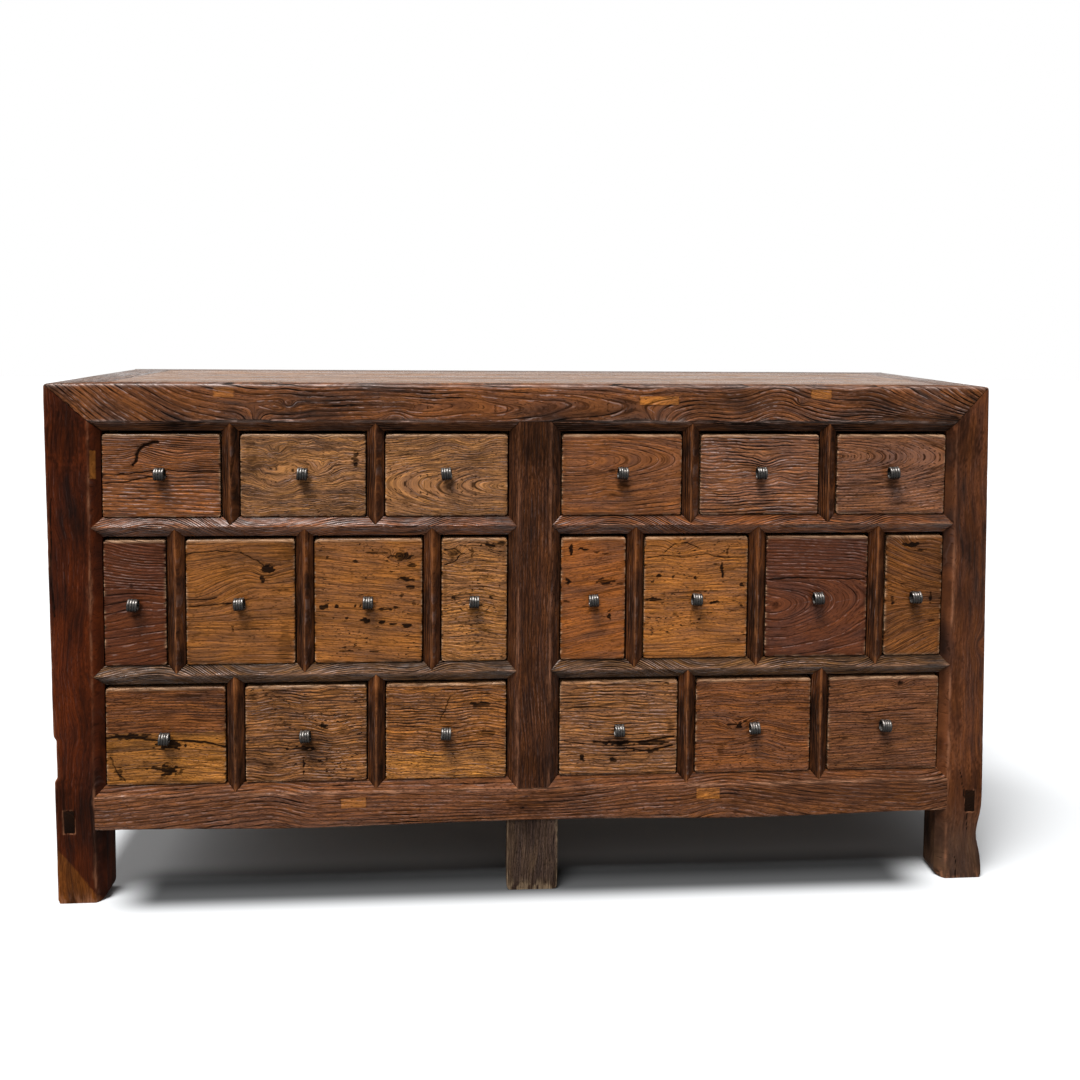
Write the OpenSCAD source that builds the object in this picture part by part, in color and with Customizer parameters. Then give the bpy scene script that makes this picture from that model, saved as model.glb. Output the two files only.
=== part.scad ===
// Wide elm apothecary chest with twenty inset drawers in three rows.
// The front is a lattice of bevelled posts, rails and dividers that are mitred into each other.
// Three members meet in one mitre at each top corner, and every drawer has a pull rolled from
// one ribbed iron strip, whose shank is clenched inside the drawer.
// X runs along the front, Y from the front to the back and Z upward. The origin is on the
// floor, under the middle of the chest with its pulls.

/* [Overall size] */
// Width over the corner posts
width = 1640; // [1560:5:1800]
// Height to the top surface
height = 895; // [870:5:960]
// Depth from the front of the posts to the back
depth = 490; // [420:5:600]
// Height of the open space under the front rail
foot_h = 127; // [100:1:150]

/* [Posts and rails] */
// Width of a corner post, seen from the front
post_w = 85; // [76:1:100]
// Depth of a corner post and of the top frame's front and back
post_d = 55; // [50:1:70]
// Height of the top frame
top_rail_h = 80; // [70:1:95]
// Height of the bottom rails at the front and back
bottom_rail_h = 75; // [60:1:95]
// Height of the rails between two rows of drawers
mid_rail_h = 33; // [28:0.5:34]
// Depth of the rails and dividers
rail_d = 45; // [42:1:50]
// Width of the centre post
centre_post_w = 90; // [80:1:110]
// Width of the dividers between two drawers
divider_w = 29; // [24:0.5:34]
// Width of the bevel around every drawer opening
bevel_w = 17; // [17:0.5:20]
// Depth to which that bevel falls
bevel_d = 11; // [6:0.5:12]
// Depth of the mitred shoulders behind the front
shoulder_d = 14; // [13:0.5:18]
// Chamfer along the worn lower arris of the front bottom rail
arris = 3; // [1:0.5:6]

/* [Bead on the corner posts] */
// Distance of the scratched bead line from the bevel
bead_gap = 8; // [4:0.5:14]
// Width of the bead line
bead_w = 2; // [1:0.25:3]
// Depth of the bead line
bead_d = 1; // [0.5:0.25:1.5]

/* [Joints] */
// Thickness of the tenons
tenon_t = 12; // [8:0.5:14]
// Length of the long tenons, on rails and on the centre post
tenon_l = 32; // [20:1:36]
// Length of the short tenons, on the dividers
stub_l = 11; // [6:0.5:13]
// Shoulder above and below a tenon
tenon_shoulder = 5; // [3:0.5:7]
// Width of the through tenons that show on the front posts
through_w = 18; // [12:1:22]
// Height of the through tenons
through_h = 38; // [24:1:44]
// Distance of the through tenons from the outer face of the post
through_inset = 15; // [12:1:17]
// Distance of the through tenons from the bottom of their rail
through_rise = 9; // [6:1:12]
// Gap around the joints of pieces that share a frame or a box
fit = 0.1; // [0.05:0.05:0.25]

/* [Feet] */
// Rounding of the corner feet on their inner side
foot_r = 25; // [10:1:40]
// Depth of the worn waist on the outer side of the right foot
waist_d = 10; // [4:0.5:14]
// Height of the waist's deepest point above the floor
waist_z = 84; // [76:1:92]
// Height of the waist from end to end
waist_h = 118; // [80:1:140]
// Setback of the centre feet from the face of the rail
centre_foot_set = 3; // [1:0.5:8]
// Rounding of the centre feet at their bottom corners
centre_foot_r = 8; // [3:0.5:16]
// Width of the tenons on the centre feet
foot_tenon_w = 40; // [24:1:60]
// Length of the tenons on the centre feet
foot_tenon_l = 20; // [12:1:26]

/* [Rows of drawers] */
// Height of the openings in the top row
top_row_h = 148; // [130:1:160]
// Height of the openings in the middle row
middle_row_h = 223; // [200:1:235]
// Width of the openings beside the centre post, in the top row
top_inner_w = 215; // [200:1:225]
// Width of the openings in the middle of each half, in the top row
top_middle_w = 216; // [200:1:225]
// Width of the openings beside the centre post, in the bottom row
bottom_inner_w = 214; // [200:1:225]
// Width of the openings in the middle of each half, in the bottom row
bottom_middle_w = 212; // [200:1:225]
// Width of the narrow openings beside the centre post, in the middle row
inner_quarter_w = 118; // [105:1:130]
// Width of the wide openings nearer the centre, in the middle row
inner_wide_w = 189; // [175:1:195]
// Width of the wide openings nearer the corner, in the middle row
outer_wide_w = 188; // [175:1:195]

/* [Drawers] */
// Setback of the drawer fronts from the face of the posts
recess = 8; // [4:0.5:11]
// Thickness of a drawer front
front_t = 22; // [18:0.5:26]
// Gap above a drawer front
top_gap = 5.7; // [2:0.1:8]
// Gap at each side of a drawer front
side_gap = 2; // [1:0.1:4]
// Gap under a drawer and behind it
slide_gap = 0.3; // [0.2:0.05:0.6]
// Rounding of a drawer front's corners
corner_r = 4; // [1.5:0.5:8]
// Chamfer around a drawer front
ease = 2; // [1:0.5:4]
// Thickness of a drawer's sides
side_t = 10; // [7:0.5:14]
// Thickness of a drawer's back
drawer_back_t = 10; // [7:0.5:14]
// Thickness of a drawer's bottom
bottom_t = 8; // [5:0.5:10]
// Height of a drawer's bottom above the lower edge of its sides
bottom_rise = 6; // [3:0.5:10]
// Depth of the grooves that hold a drawer's bottom
bottom_groove = 5; // [3:0.5:6]
// Wood left in front of the rabbets for a drawer's sides
front_lap = 12; // [8:0.5:14]
// Distance of a drawer's sides below the top of its front
side_drop = 8; // [4:0.5:20]

/* [Pulls] */
// Outer radius of the rolled strip
pull_r = 10; // [8:0.5:13]
// Width of the strip
pull_w = 17; // [12:0.5:24]
// Thickness of the strip
strip_t = 2.4; // [1.8:0.1:3]
// Gap between two turns of the strip
roll_gap = 0.6; // [0.4:0.1:1]
// Number of ribs around the strip
ribs = 4; // [2:1:6]
// Depth of the grooves between the ribs
rib_d = 0.7; // [0.3:0.1:1]
// Turn of the strip's inner leaf
leaf_turn = 110; // [60:5:150]
// Distance of the roll from the drawer front
pull_gap = 2; // [1:0.5:5]
// Height of the top row's pulls above the middle of their drawers
pull_lift = 5; // [0:0.5:10]
// Width of the shank
shank_w = 7; // [4:0.5:9]
// Height of the shank
shank_h = 4; // [3:0.5:6]
// Length of the shank's clenched end
clench_l = 16; // [8:1:22]

/* [Panels and boards] */
// Thickness of the top boards
top_board_t = 15; // [12:0.5:20]
// Number of top boards
top_boards_n = 3; // [2:1:5]
// Number of battens under the top boards
battens_n = 3; // [2:1:5]
// Width of the battens under the top boards
batten_w = 40; // [30:1:60]
// Height of the battens under the top boards
batten_h = 25; // [18:1:35]
// Thickness of the side and back panels
panel_t = 10; // [7:0.5:12]
// Distance of a side panel from the outer face of its frame
side_panel_inset = 10; // [6:0.5:14]
// Distance of a back panel from the inner face of its frame
back_panel_inset = 20; // [19:0.5:22]
// Depth of the grooves that hold the panels
tongue_l = 8; // [5:0.5:10]
// Thickness of the tongues on the top boards
tongue_t = 7; // [5:0.5:9]
// Thickness of the side rails
side_rail_t = 40; // [36:1:44]
// Height of the bottom side rails
side_rail_h = 75; // [60:1:85]
// Distance of the bottom side rails below the front rail
side_rail_drop = 12; // [0:1:20]
// Thickness of the boards that carry the drawers
runner_t = 14; // [10:0.5:18]
// Number of those boards in each half of a row
runners_n = 4; // [3:1:6]
// Width on which those boards rest on the rails
runner_lap = 10; // [6:0.5:12]
// Height of the drawer guides above those boards
guide_h = 20; // [12:1:30]
// Height of the kickers above the top row
kicker_h = 25; // [20:1:35]
// Width on which a kicker reaches over a drawer's side
kicker_lap = 14; // [8:1:24]
// Gap between a drawer's sides and the kickers
kicker_gap = 3; // [1:0.5:5]

/* [Hidden] */
$fn = 64;
over = 1;

bottom_row = 0;
middle_row = 1;
top_row = 2;
rows = [bottom_row, middle_row, top_row];
row_names = ["bottom", "middle", "top"];

post_x = width / 2 - post_w;
half_span = post_x - centre_post_w / 2;
top_z = height - top_rail_h;
base_z = foot_h + bottom_rail_h;
bottom_row_h = top_z - base_z - middle_row_h - top_row_h - 2 * mid_rail_h;
row_h = [bottom_row_h, middle_row_h, top_row_h];
row_z = [base_z, base_z + bottom_row_h + mid_rail_h, top_z - top_row_h];

// Openings of each half of a row, from the centre post outward
top_outer_w = half_span - top_inner_w - top_middle_w - 2 * divider_w;
bottom_outer_w = half_span - bottom_inner_w - bottom_middle_w - 2 * divider_w;
outer_quarter_w = half_span - inner_quarter_w - inner_wide_w - outer_wide_w - 3 * divider_w;
row_widths = [
    [bottom_inner_w, bottom_middle_w, bottom_outer_w],
    [inner_quarter_w, inner_wide_w, outer_wide_w, outer_quarter_w],
    [top_inner_w, top_middle_w, top_outer_w]
];

function sum_before(v, i) = i == 0 ? 0 : v[i - 1] + sum_before(v, i - 1);
function opening_x(row, i) = centre_post_w / 2 + sum_before(row_widths[row], i) + i * divider_w;
function divider_xs(row) =
    [for (i = [1 : len(row_widths[row]) - 1]) opening_x(row, i) - divider_w / 2];

// A cell is a drawer's place: its row, its half (-1 left, 1 right) and its column from the centre
function row_cells(row) =
    let (last = len(row_widths[row]) - 1)
    concat([for (i = [last : -1 : 0]) [row, -1, i]], [for (i = [0 : last]) [row, 1, i]]);
cells = concat(row_cells(top_row), row_cells(middle_row), row_cells(bottom_row));
function cell_number(cell) =
    let (n = len(row_widths[cell[0]]))
    cell[1] < 0 ? n - cell[2] : n + 1 + cell[2];
function cell_name(kind, cell) = str(kind, "_", row_names[cell[0]], "_", cell_number(cell));
function cell_w(cell) = row_widths[cell[0]][cell[2]] - 2 * side_gap;
function cell_h(cell) = row_h[cell[0]] - top_gap - slide_gap;
function cell_pull_z(cell) = cell_h(cell) / 2 + (cell[0] == top_row ? pull_lift : 0);
function cell_x(cell) =
    cell[1] * (opening_x(cell[0], cell[2]) + row_widths[cell[0]][cell[2]] / 2);

back_panel_y = depth - rail_d + back_panel_inset;
drawer_l = back_panel_y - slide_gap - recess;
pull_y = -pull_gap - pull_r;
pull_out = pull_gap + 2 * pull_r - recess;
frame_y = -(depth - pull_out) / 2;
guide_side_t = post_w - side_rail_t;
side_panel_x = width / 2 - side_panel_inset - panel_t;
through_x = width / 2 - through_inset - through_w;
side_bottom_z = foot_h - side_rail_drop;
tenon_y = shoulder_d + (rail_d - runner_lap - shoulder_d - tenon_t) / 2;
kicker_z = top_z - top_gap - side_drop + kicker_gap;

frame_brown = "#4b2716";
post_red = "#56291a";
dark_brown = "#3a2116";
weathered = "#5c4433";
inner_wood = "#8a6a48";
top_wood = "#6f4a30";
iron = "#3b3a3c";
red_brown = "#6b3620";
mid_brown = "#7d4a27";
tan_wood = "#8f5f35";
honey = "#a06a2c";
drawer_tones = [
    [mid_brown, tan_wood, honey, tan_wood, red_brown, mid_brown],
    [red_brown, honey, honey, tan_wood, honey, honey, red_brown, honey],
    [red_brown, tan_wood, tan_wood, mid_brown, mid_brown, mid_brown]
];

carcass = [
    "front_post_left", "front_post_right", "rear_posts", "centre_post", "centre_feet",
    "top_front_rail", "top_back_rail", "top_end_rails", "top_boards", "top_battens",
    "upper_rails", "lower_rails", "bottom_rail", "drawer_dividers", "side_rails",
    "side_panels", "back_frame", "back_panels", "runner_boards", "drawer_guides"
];

// Placing and extruding

module in_place() {
    translate([0, frame_y, 0]) children();
}

module both_sides() {
    children();
    mirror([1, 0, 0]) children();
}

module front_and_back() {
    children();
    translate([0, depth, 0]) mirror([0, 1, 0]) children();
}

// Extrudes an outline drawn in Y and Z along X
module along_x(length) {
    rotate([90, 0, 90]) linear_extrude(length) children();
}

// Extrudes an outline drawn in X and Z along Y
module along_y(length) {
    translate([0, length, 0]) rotate([90, 0, 0]) linear_extrude(length) children();
}

// Box between two corners
module block(from, to) {
    translate(from) cube(to - from);
}

// Front lattice: one bevelled bar with mitred tips serves for the rails, the dividers and the
// centre post, and the same tips and tenons cut the sockets of what they enter

function bar_reach(breadth) = min(breadth / 2, bevel_w);
function bar_flat(breadth) = breadth / 2 - bar_reach(breadth);
function bar_front(breadth) = bevel_d * (1 - bar_reach(breadth) / bevel_w);

module bar_section(breadth, deep) {
    flat = bar_flat(breadth);
    polygon(concat(
        [[deep, -breadth / 2], [bevel_d, -breadth / 2], [bar_front(breadth), -flat]],
        flat > 0 ? [[bar_front(breadth), flat]] : [],
        [[bevel_d, breadth / 2], [deep, breadth / 2]]
    ));
}

module tip_outline(breadth) {
    flat = bar_flat(breadth);
    polygon(concat(
        [[0, -breadth / 2], [bar_reach(breadth), -flat]],
        flat > 0 ? [[bar_reach(breadth), flat]] : [],
        [[0, breadth / 2]]
    ));
}

module tenon(breadth, length) {
    high = breadth - 2 * tenon_shoulder;
    translate([0, tenon_y, -high / 2]) cube([length, tenon_t, high]);
}

// A bar along X from 0, with a tip and a tenon at both ends
module bar(length, breadth, deep, tenon_length) {
    reach = bar_reach(breadth);
    intersection() {
        translate([-reach, 0, 0]) along_x(length + 2 * reach) bar_section(breadth, deep);
        union() {
            block([0, 0, -breadth / 2], [length, deep, breadth / 2]);
            translate([length, 0, 0]) along_y(shoulder_d) tip_outline(breadth);
            mirror([1, 0, 0]) along_y(shoulder_d) tip_outline(breadth);
        }
    }
    translate([length, 0, 0]) tenon(breadth, tenon_length);
    mirror([1, 0, 0]) tenon(breadth, tenon_length);
}

// What a bar's end, pointing along X from 0, takes out of the piece that it enters
module socket(breadth, tenon_length) {
    translate([0, -over, 0]) along_y(shoulder_d + over) tip_outline(breadth);
    tenon(breadth, tenon_length);
}

module upright(x, z, length, breadth, deep, tenon_length) {
    translate([x, 0, z]) rotate([0, -90, 0]) bar(length, breadth, deep, tenon_length);
}

module upright_sockets(x, z, length, breadth, tenon_length) {
    translate([x, 0, z + length]) rotate([0, -90, 0]) socket(breadth, tenon_length);
    translate([x, 0, z]) rotate([0, 90, 0]) socket(breadth, tenon_length);
}

module divider_sockets(row) {
    both_sides()
        for (x = divider_xs(row))
            upright_sockets(x, row_z[row], row_h[row], divider_w, stub_l);
}

module centre_post_sockets() {
    upright_sockets(0, base_z, top_z - base_z, centre_post_w, tenon_l);
}

// Height of the middle of the rail on top of a row
function rail_z(row) = row_z[row] + row_h[row] + mid_rail_h / 2;

module front_rail(row) {
    translate([centre_post_w / 2, 0, rail_z(row)]) bar(half_span, mid_rail_h, rail_d, tenon_l);
}

module front_rail_sockets() {
    for (row = [bottom_row, middle_row]) {
        translate([post_x, 0, rail_z(row)]) socket(mid_rail_h, tenon_l);
        translate([centre_post_w / 2, 0, rail_z(row)]) mirror([1, 0, 0]) socket(mid_rail_h, tenon_l);
    }
}

// End of the bottom rail: its face is let into the bevel of the corner post
module bottom_rail_end(deep) {
    translate([post_x, 0, 0])
        along_y(deep)
            polygon([[0, foot_h], [bevel_w, foot_h], [bevel_w, base_z - bevel_w], [0, base_z]]);
}

module bottom_rail_tenon() {
    translate([post_x, 0, foot_h + bottom_rail_h / 2]) tenon(bottom_rail_h, tenon_l);
}

// Boards that carry the drawers, and the seats that they rest on

module runner_layer(row) {
    z = row_z[row];
    block(
        [centre_post_w / 2, rail_d - runner_lap, z - runner_t],
        [post_x, depth - rail_d + runner_lap, z]
    );
}

module runner_seats(row) {
    both_sides() runner_layer(row);
}

// Panels: each slab fills its frame and the grooves around it

// Bottom and top of a side panel in each row, between the side rails
function side_field(row) = [
    row == bottom_row ? side_bottom_z + side_rail_h : row_z[row],
    row_z[row] + row_h[row]
];

module side_panel(row) {
    field = side_field(row);
    block(
        [side_panel_x, post_d - tongue_l, field[0] - tongue_l],
        [side_panel_x + panel_t, depth - post_d + tongue_l, field[1] + tongue_l]
    );
}

module back_panel(row) {
    block(
        [centre_post_w / 2 - tongue_l, back_panel_y, row_z[row] - tongue_l],
        [post_x + tongue_l, back_panel_y + panel_t, row_z[row] + row_h[row] + tongue_l]
    );
}

module all_side_panels() {
    for (row = rows) side_panel(row);
}

module all_back_panels() {
    both_sides() for (row = rows) back_panel(row);
}

module top_panel() {
    inner = [post_x, post_d];
    block([-inner.x, inner.y, height - top_board_t], [inner.x, depth - inner.y, height]);
    block(
        [-inner.x - tongue_l, inner.y - tongue_l, height - top_board_t],
        [inner.x + tongue_l, depth - inner.y + tongue_l, height - top_board_t + tongue_t]
    );
}

// Side rails, drawn on the right side

module through_tenon() {
    z = side_bottom_z + through_rise;
    block([through_x, 0, z], [through_x + through_w, depth, z + through_h]);
}

module side_tenon(row) {
    inset = tongue_l + over;
    z = row_z[row] + row_h[row];
    block(
        [through_x, post_d - tenon_l, z + inset],
        [through_x + through_w, depth - post_d + tenon_l, z + mid_rail_h - inset]
    );
}

module side_tenons() {
    through_tenon();
    for (row = [bottom_row, middle_row]) side_tenon(row);
}

module side_rail_blanks() {
    x = width / 2;
    block(
        [x - side_rail_t, post_d, side_bottom_z],
        [x, depth - post_d, side_bottom_z + side_rail_h]
    );
    for (row = [bottom_row, middle_row]) {
        z = row_z[row] + row_h[row];
        block([x - side_rail_t, post_d, z], [x, depth - post_d, z + mid_rail_h]);
    }
}

// Back frame members and their tenons

// A tenon between two corners given in X and Z, grown by a gap where it cuts its socket
module back_tenon(from, to, gap) {
    y = back_panel_y - over - tenon_t;
    block([from.x - gap, y - gap, from.y - gap], [to.x + gap, y + tenon_t + gap, to.y + gap]);
}

module back_rail_tenons(gap = 0) {
    both_sides() {
        back_tenon(
            [post_x, foot_h + tenon_shoulder],
            [post_x + tenon_l, base_z - tenon_shoulder],
            gap
        );
        for (row = [bottom_row, middle_row]) {
            z = row_z[row] + row_h[row];
            back_tenon(
                [centre_post_w / 2 - tenon_l, z + tenon_shoulder],
                [post_x + tenon_l, z + mid_rail_h - tenon_shoulder],
                gap
            );
        }
    }
}

module back_stile_tenon(gap = 0) {
    half = centre_post_w / 2 - tenon_shoulder;
    back_tenon([-half, base_z - tenon_l], [half, top_z + tenon_l], gap);
}

// Corner posts, drawn on the right side

module post_section(bevelled) {
    bead_x = bevel_w + bead_gap;
    polygon(
        bevelled
        ? [[0, bevel_d], [bevel_w, 0], [bead_x, 0], [bead_x + bead_w / 2, bead_d],
            [bead_x + bead_w, 0], [post_w, 0], [post_w, post_d], [0, post_d]]
        : [[0, 0], [post_w, 0], [post_w, post_d], [0, post_d]]
    );
}

// Rounds the lower end of a foot on its inner side
module foot_rounding() {
    translate([0, -over, 0])
        along_y(post_d + 2 * over)
            difference() {
                translate([-over, -over]) square(foot_r + over);
                translate([foot_r, foot_r]) circle(foot_r);
            }
}

module corner_post(bevelled) {
    translate([post_x, 0, 0])
        difference() {
            intersection() {
                linear_extrude(height) post_section(bevelled);
                along_y(post_d) polygon([[0, 0], [post_w, 0], [post_w, height], [0, top_z]]);
                along_x(post_w) polygon([[0, 0], [post_d, 0], [post_d, top_z], [0, height]]);
            }
            foot_rounding();
        }
}

module front_post(worn) {
    waist_r = (waist_h * waist_h / 4 + waist_d * waist_d) / (2 * waist_d);
    difference() {
        corner_post(true);
        front_rail_sockets();
        translate([0, -over, 0]) bottom_rail_end(shoulder_d + over);
        bottom_rail_tenon();
        side_tenons();
        all_side_panels();
        if (worn)
            translate([width / 2 + waist_r - waist_d, -over, waist_z])
                rotate([-90, 0, 0]) cylinder(r = waist_r, h = post_d + 2 * over, $fn = 240);
    }
}

module front_post_left() {
    color(post_red) in_place() mirror([1, 0, 0]) front_post(false);
}

module front_post_right() {
    color(frame_brown) in_place() front_post(true);
}

module rear_posts() {
    color(frame_brown) in_place() both_sides()
        difference() {
            translate([0, depth, 0]) mirror([0, 1, 0]) corner_post(false);
            side_tenons();
            all_side_panels();
            back_rail_tenons();
            all_back_panels();
        }
}

module centre_post() {
    color(dark_brown) in_place()
        difference() {
            upright(0, base_z, top_z - base_z, centre_post_w, post_d, tenon_l);
            both_sides() front_rail_sockets();
        }
}

// Feet under the middle of the front and back rails

module centre_foot_tenon() {
    translate([-foot_tenon_w / 2, tenon_y, foot_h]) cube([foot_tenon_w, tenon_t, foot_tenon_l]);
}

module centre_foot() {
    half = centre_post_w / 2;
    translate([0, centre_foot_set, 0])
        along_y(rail_d - centre_foot_set)
            union() {
                translate([-half, centre_foot_r]) square([2 * half, foot_h - centre_foot_r]);
                translate([-half + centre_foot_r, 0]) square([2 * (half - centre_foot_r), foot_h]);
                for (side = [-1, 1])
                    translate([side * (half - centre_foot_r), centre_foot_r]) circle(centre_foot_r);
            }
    centre_foot_tenon();
}

module centre_feet() {
    color(weathered) in_place() front_and_back() centre_foot();
}

// Top frame: its rails and the posts share one three-way mitre at each corner

module top_long_rail(bevelled) {
    half = width / 2;
    intersection() {
        translate([-half, 0, 0])
            along_x(width)
                polygon(
                    bevelled
                    ? [[0, height], [0, top_z + bevel_w], [bevel_d, top_z], [post_d, top_z],
                        [post_d, height]]
                    : [[0, height], [0, top_z], [post_d, top_z], [post_d, height]]
                );
        along_y(post_d)
            polygon([[-half, height], [half, height], [post_x, top_z], [-post_x, top_z]]);
        linear_extrude(height)
            polygon([[-half, 0], [half, 0], [post_x, post_d], [-post_x, post_d]]);
    }
}

module top_front_rail() {
    color(frame_brown) in_place()
        difference() {
            top_long_rail(true);
            divider_sockets(top_row);
            centre_post_sockets();
            top_panel();
        }
}

module top_back_rail() {
    color(frame_brown) in_place()
        difference() {
            translate([0, depth, 0]) mirror([0, 1, 0]) top_long_rail(false);
            top_panel();
            back_stile_tenon();
            all_back_panels();
        }
}

module top_end_rails() {
    color(frame_brown) in_place() both_sides()
        difference() {
            intersection() {
                block([post_x, 0, top_z], [width / 2, depth, height]);
                translate([post_x, 0, 0])
                    along_x(post_w)
                        polygon([[0, height], [depth, height], [depth - post_d, top_z],
                            [post_d, top_z]]);
                linear_extrude(height)
                    polygon([[post_x, post_d], [width / 2, 0], [width / 2, depth],
                        [post_x, depth - post_d]]);
            }
            top_panel();
            all_side_panels();
        }
}

module top_boards() {
    board = (depth - 2 * post_d) / top_boards_n;
    last = top_boards_n - 1;
    color(top_wood) in_place()
        for (i = [0 : last]) {
            front_end = post_d + i * board - (i == 0 ? tongue_l : 0);
            back_end = post_d + (i + 1) * board + (i == last ? tongue_l : -fit);
            intersection() {
                top_panel();
                block([-width / 2, front_end, 0], [width / 2, back_end, height]);
            }
        }
}

module top_battens() {
    pitch = 2 * post_x / (battens_n + 1);
    color(inner_wood) in_place()
        for (i = [1 : battens_n])
            translate([-post_x + i * pitch - batten_w / 2, post_d, height - top_board_t - batten_h])
                cube([batten_w, depth - 2 * post_d, batten_h]);
}

// Front rails and dividers

module upper_rails() {
    color(frame_brown) in_place() both_sides()
        difference() {
            front_rail(middle_row);
            divider_sockets(middle_row);
            divider_sockets(top_row);
            runner_layer(top_row);
        }
}

module lower_rails() {
    color(frame_brown) in_place() both_sides()
        difference() {
            front_rail(bottom_row);
            divider_sockets(bottom_row);
            divider_sockets(middle_row);
            runner_layer(middle_row);
        }
}

module bottom_rail() {
    color(frame_brown) in_place()
        difference() {
            union() {
                intersection() {
                    translate([-width / 2, 0, 0])
                        along_x(width)
                            polygon([[rail_d, foot_h], [arris, foot_h], [0, foot_h + arris],
                                [0, base_z - bevel_w], [bevel_d, base_z], [rail_d, base_z]]);
                    union() {
                        block([-post_x, 0, foot_h], [post_x, rail_d, base_z]);
                        both_sides() bottom_rail_end(shoulder_d);
                    }
                }
                both_sides() bottom_rail_tenon();
            }
            divider_sockets(bottom_row);
            centre_post_sockets();
            centre_foot_tenon();
            runner_seats(bottom_row);
        }
}

module drawer_dividers() {
    color(frame_brown) in_place() both_sides()
        for (row = rows, x = divider_xs(row))
            upright(x, row_z[row], row_h[row], divider_w, rail_d, stub_l);
}

// Sides

module side_rails() {
    color(frame_brown) in_place() both_sides()
        difference() {
            union() {
                side_rail_blanks();
                side_tenons();
            }
            all_side_panels();
        }
}

module side_panels() {
    color(mid_brown) in_place() both_sides() all_side_panels();
}

// Back

module back_rail_blanks() {
    front_y = depth - rail_d;
    block([-post_x, front_y, foot_h], [post_x, depth, base_z]);
    both_sides()
        for (row = [bottom_row, middle_row]) {
            z = row_z[row] + row_h[row];
            block([centre_post_w / 2 + fit, front_y, z], [post_x, depth, z + mid_rail_h]);
        }
}

module back_rails() {
    difference() {
        union() {
            back_rail_blanks();
            back_rail_tenons();
        }
        back_stile_tenon(fit);
        all_back_panels();
        for (row = rows) runner_seats(row);
        translate([0, depth, 0]) mirror([0, 1, 0]) centre_foot_tenon();
    }
}

module back_stile() {
    half = centre_post_w / 2;
    difference() {
        union() {
            block([-half, depth - rail_d, base_z + fit], [half, depth, top_z]);
            back_stile_tenon();
        }
        back_rail_tenons(fit);
        all_back_panels();
    }
}

module back_frame() {
    color(inner_wood) in_place() {
        back_rails();
        back_stile();
    }
}

module back_panels() {
    color(inner_wood) in_place() all_back_panels();
}

// Inside

module runner_boards() {
    board = half_span / runners_n;
    color(inner_wood) in_place() both_sides()
        for (row = rows, i = [0 : runners_n - 1])
            intersection() {
                runner_layer(row);
                translate([centre_post_w / 2 + i * board, 0, 0]) cube([board - fit, depth, height]);
            }
}

module kicker(x, half) {
    block([x - half, post_d, kicker_z], [x + half, depth - post_d, kicker_z + kicker_h]);
}

// Guides beside the drawers, and kickers that keep the top row level when it is drawn out
module drawer_guides() {
    color(inner_wood) in_place() {
        for (row = rows) {
            z = row_z[row];
            both_sides() {
                for (x = divider_xs(row))
                    block(
                        [x - divider_w / 2, rail_d, z],
                        [x + divider_w / 2, depth - rail_d, z + guide_h]
                    );
                block(
                    [post_x, post_d, z - runner_t],
                    [post_x + guide_side_t, depth - post_d, z + guide_h]
                );
            }
            block(
                [-centre_post_w / 2, post_d, z - runner_t],
                [centre_post_w / 2, depth - rail_d, z + guide_h]
            );
        }
        both_sides() {
            for (x = divider_xs(top_row)) kicker(x, divider_w / 2 + kicker_lap);
            kicker(post_x - kicker_lap / 2, kicker_lap / 2);
        }
        kicker(0, centre_post_w / 2 + kicker_lap);
    }
}

// Drawers, each drawn with the lower edge of its front at the origin

module rounded_outline(wide, high, r) {
    translate([-wide / 2, r]) square([wide, high - 2 * r]);
    translate([-wide / 2 + r, 0]) square([wide - 2 * r, high]);
    for (x = [-wide / 2 + r, wide / 2 - r], z = [r, high - r]) translate([x, z]) circle(r);
}

module drawer_front(wide, high, side_h, pull_z) {
    difference() {
        intersection() {
            along_y(front_t) rounded_outline(wide, high, corner_r);
            translate([-wide / 2, 0, 0])
                along_x(wide)
                    polygon([[ease, 0], [front_t, 0], [front_t, high], [ease, high],
                        [0, high - ease], [0, ease]]);
            linear_extrude(high)
                polygon([[-wide / 2, ease], [-wide / 2 + ease, 0], [wide / 2 - ease, 0],
                    [wide / 2, ease], [wide / 2, front_t], [-wide / 2, front_t]]);
        }
        both_sides() drawer_side(wide, side_h, fit);
        drawer_bottom(wide, fit);
        translate([0, 0, pull_z]) shank();
    }
}

// A side or a bottom, grown by a gap where it cuts its rabbet or groove
module drawer_side(wide, side_h, gap = 0) {
    block(
        [wide / 2 - side_t - gap, front_lap - gap, -gap],
        [wide / 2 + gap, drawer_l, side_h + gap]
    );
}

module drawer_bottom(wide, gap = 0) {
    half = wide / 2 - side_t + bottom_groove + gap;
    block(
        [-half, front_t - bottom_groove - gap, bottom_rise - gap],
        [half, drawer_l + gap, bottom_rise + bottom_t + gap]
    );
}

module drawer_back(wide, side_h) {
    half = wide / 2 - side_t - fit;
    block(
        [-half, drawer_l - drawer_back_t, bottom_rise + bottom_t + fit],
        [half, drawer_l, side_h]
    );
}

module drawer(cell) {
    wide = cell_w(cell);
    high = cell_h(cell);
    side_h = high - side_drop;
    color(drawer_tones[cell[0]][cell_number(cell) - 1])
        in_drawer_place(cell) {
            drawer_front(wide, high, side_h, cell_pull_z(cell));
            both_sides()
                difference() {
                    drawer_side(wide, side_h);
                    drawer_bottom(wide, fit);
                }
            drawer_back(wide, side_h);
            drawer_bottom(wide);
        }
}

module in_drawer_place(cell) {
    in_place() translate([cell_x(cell), recess, row_z[cell[0]] + slide_gap]) children();
}

// Pulls, drawn about the point where the shank enters the drawer front

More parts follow.
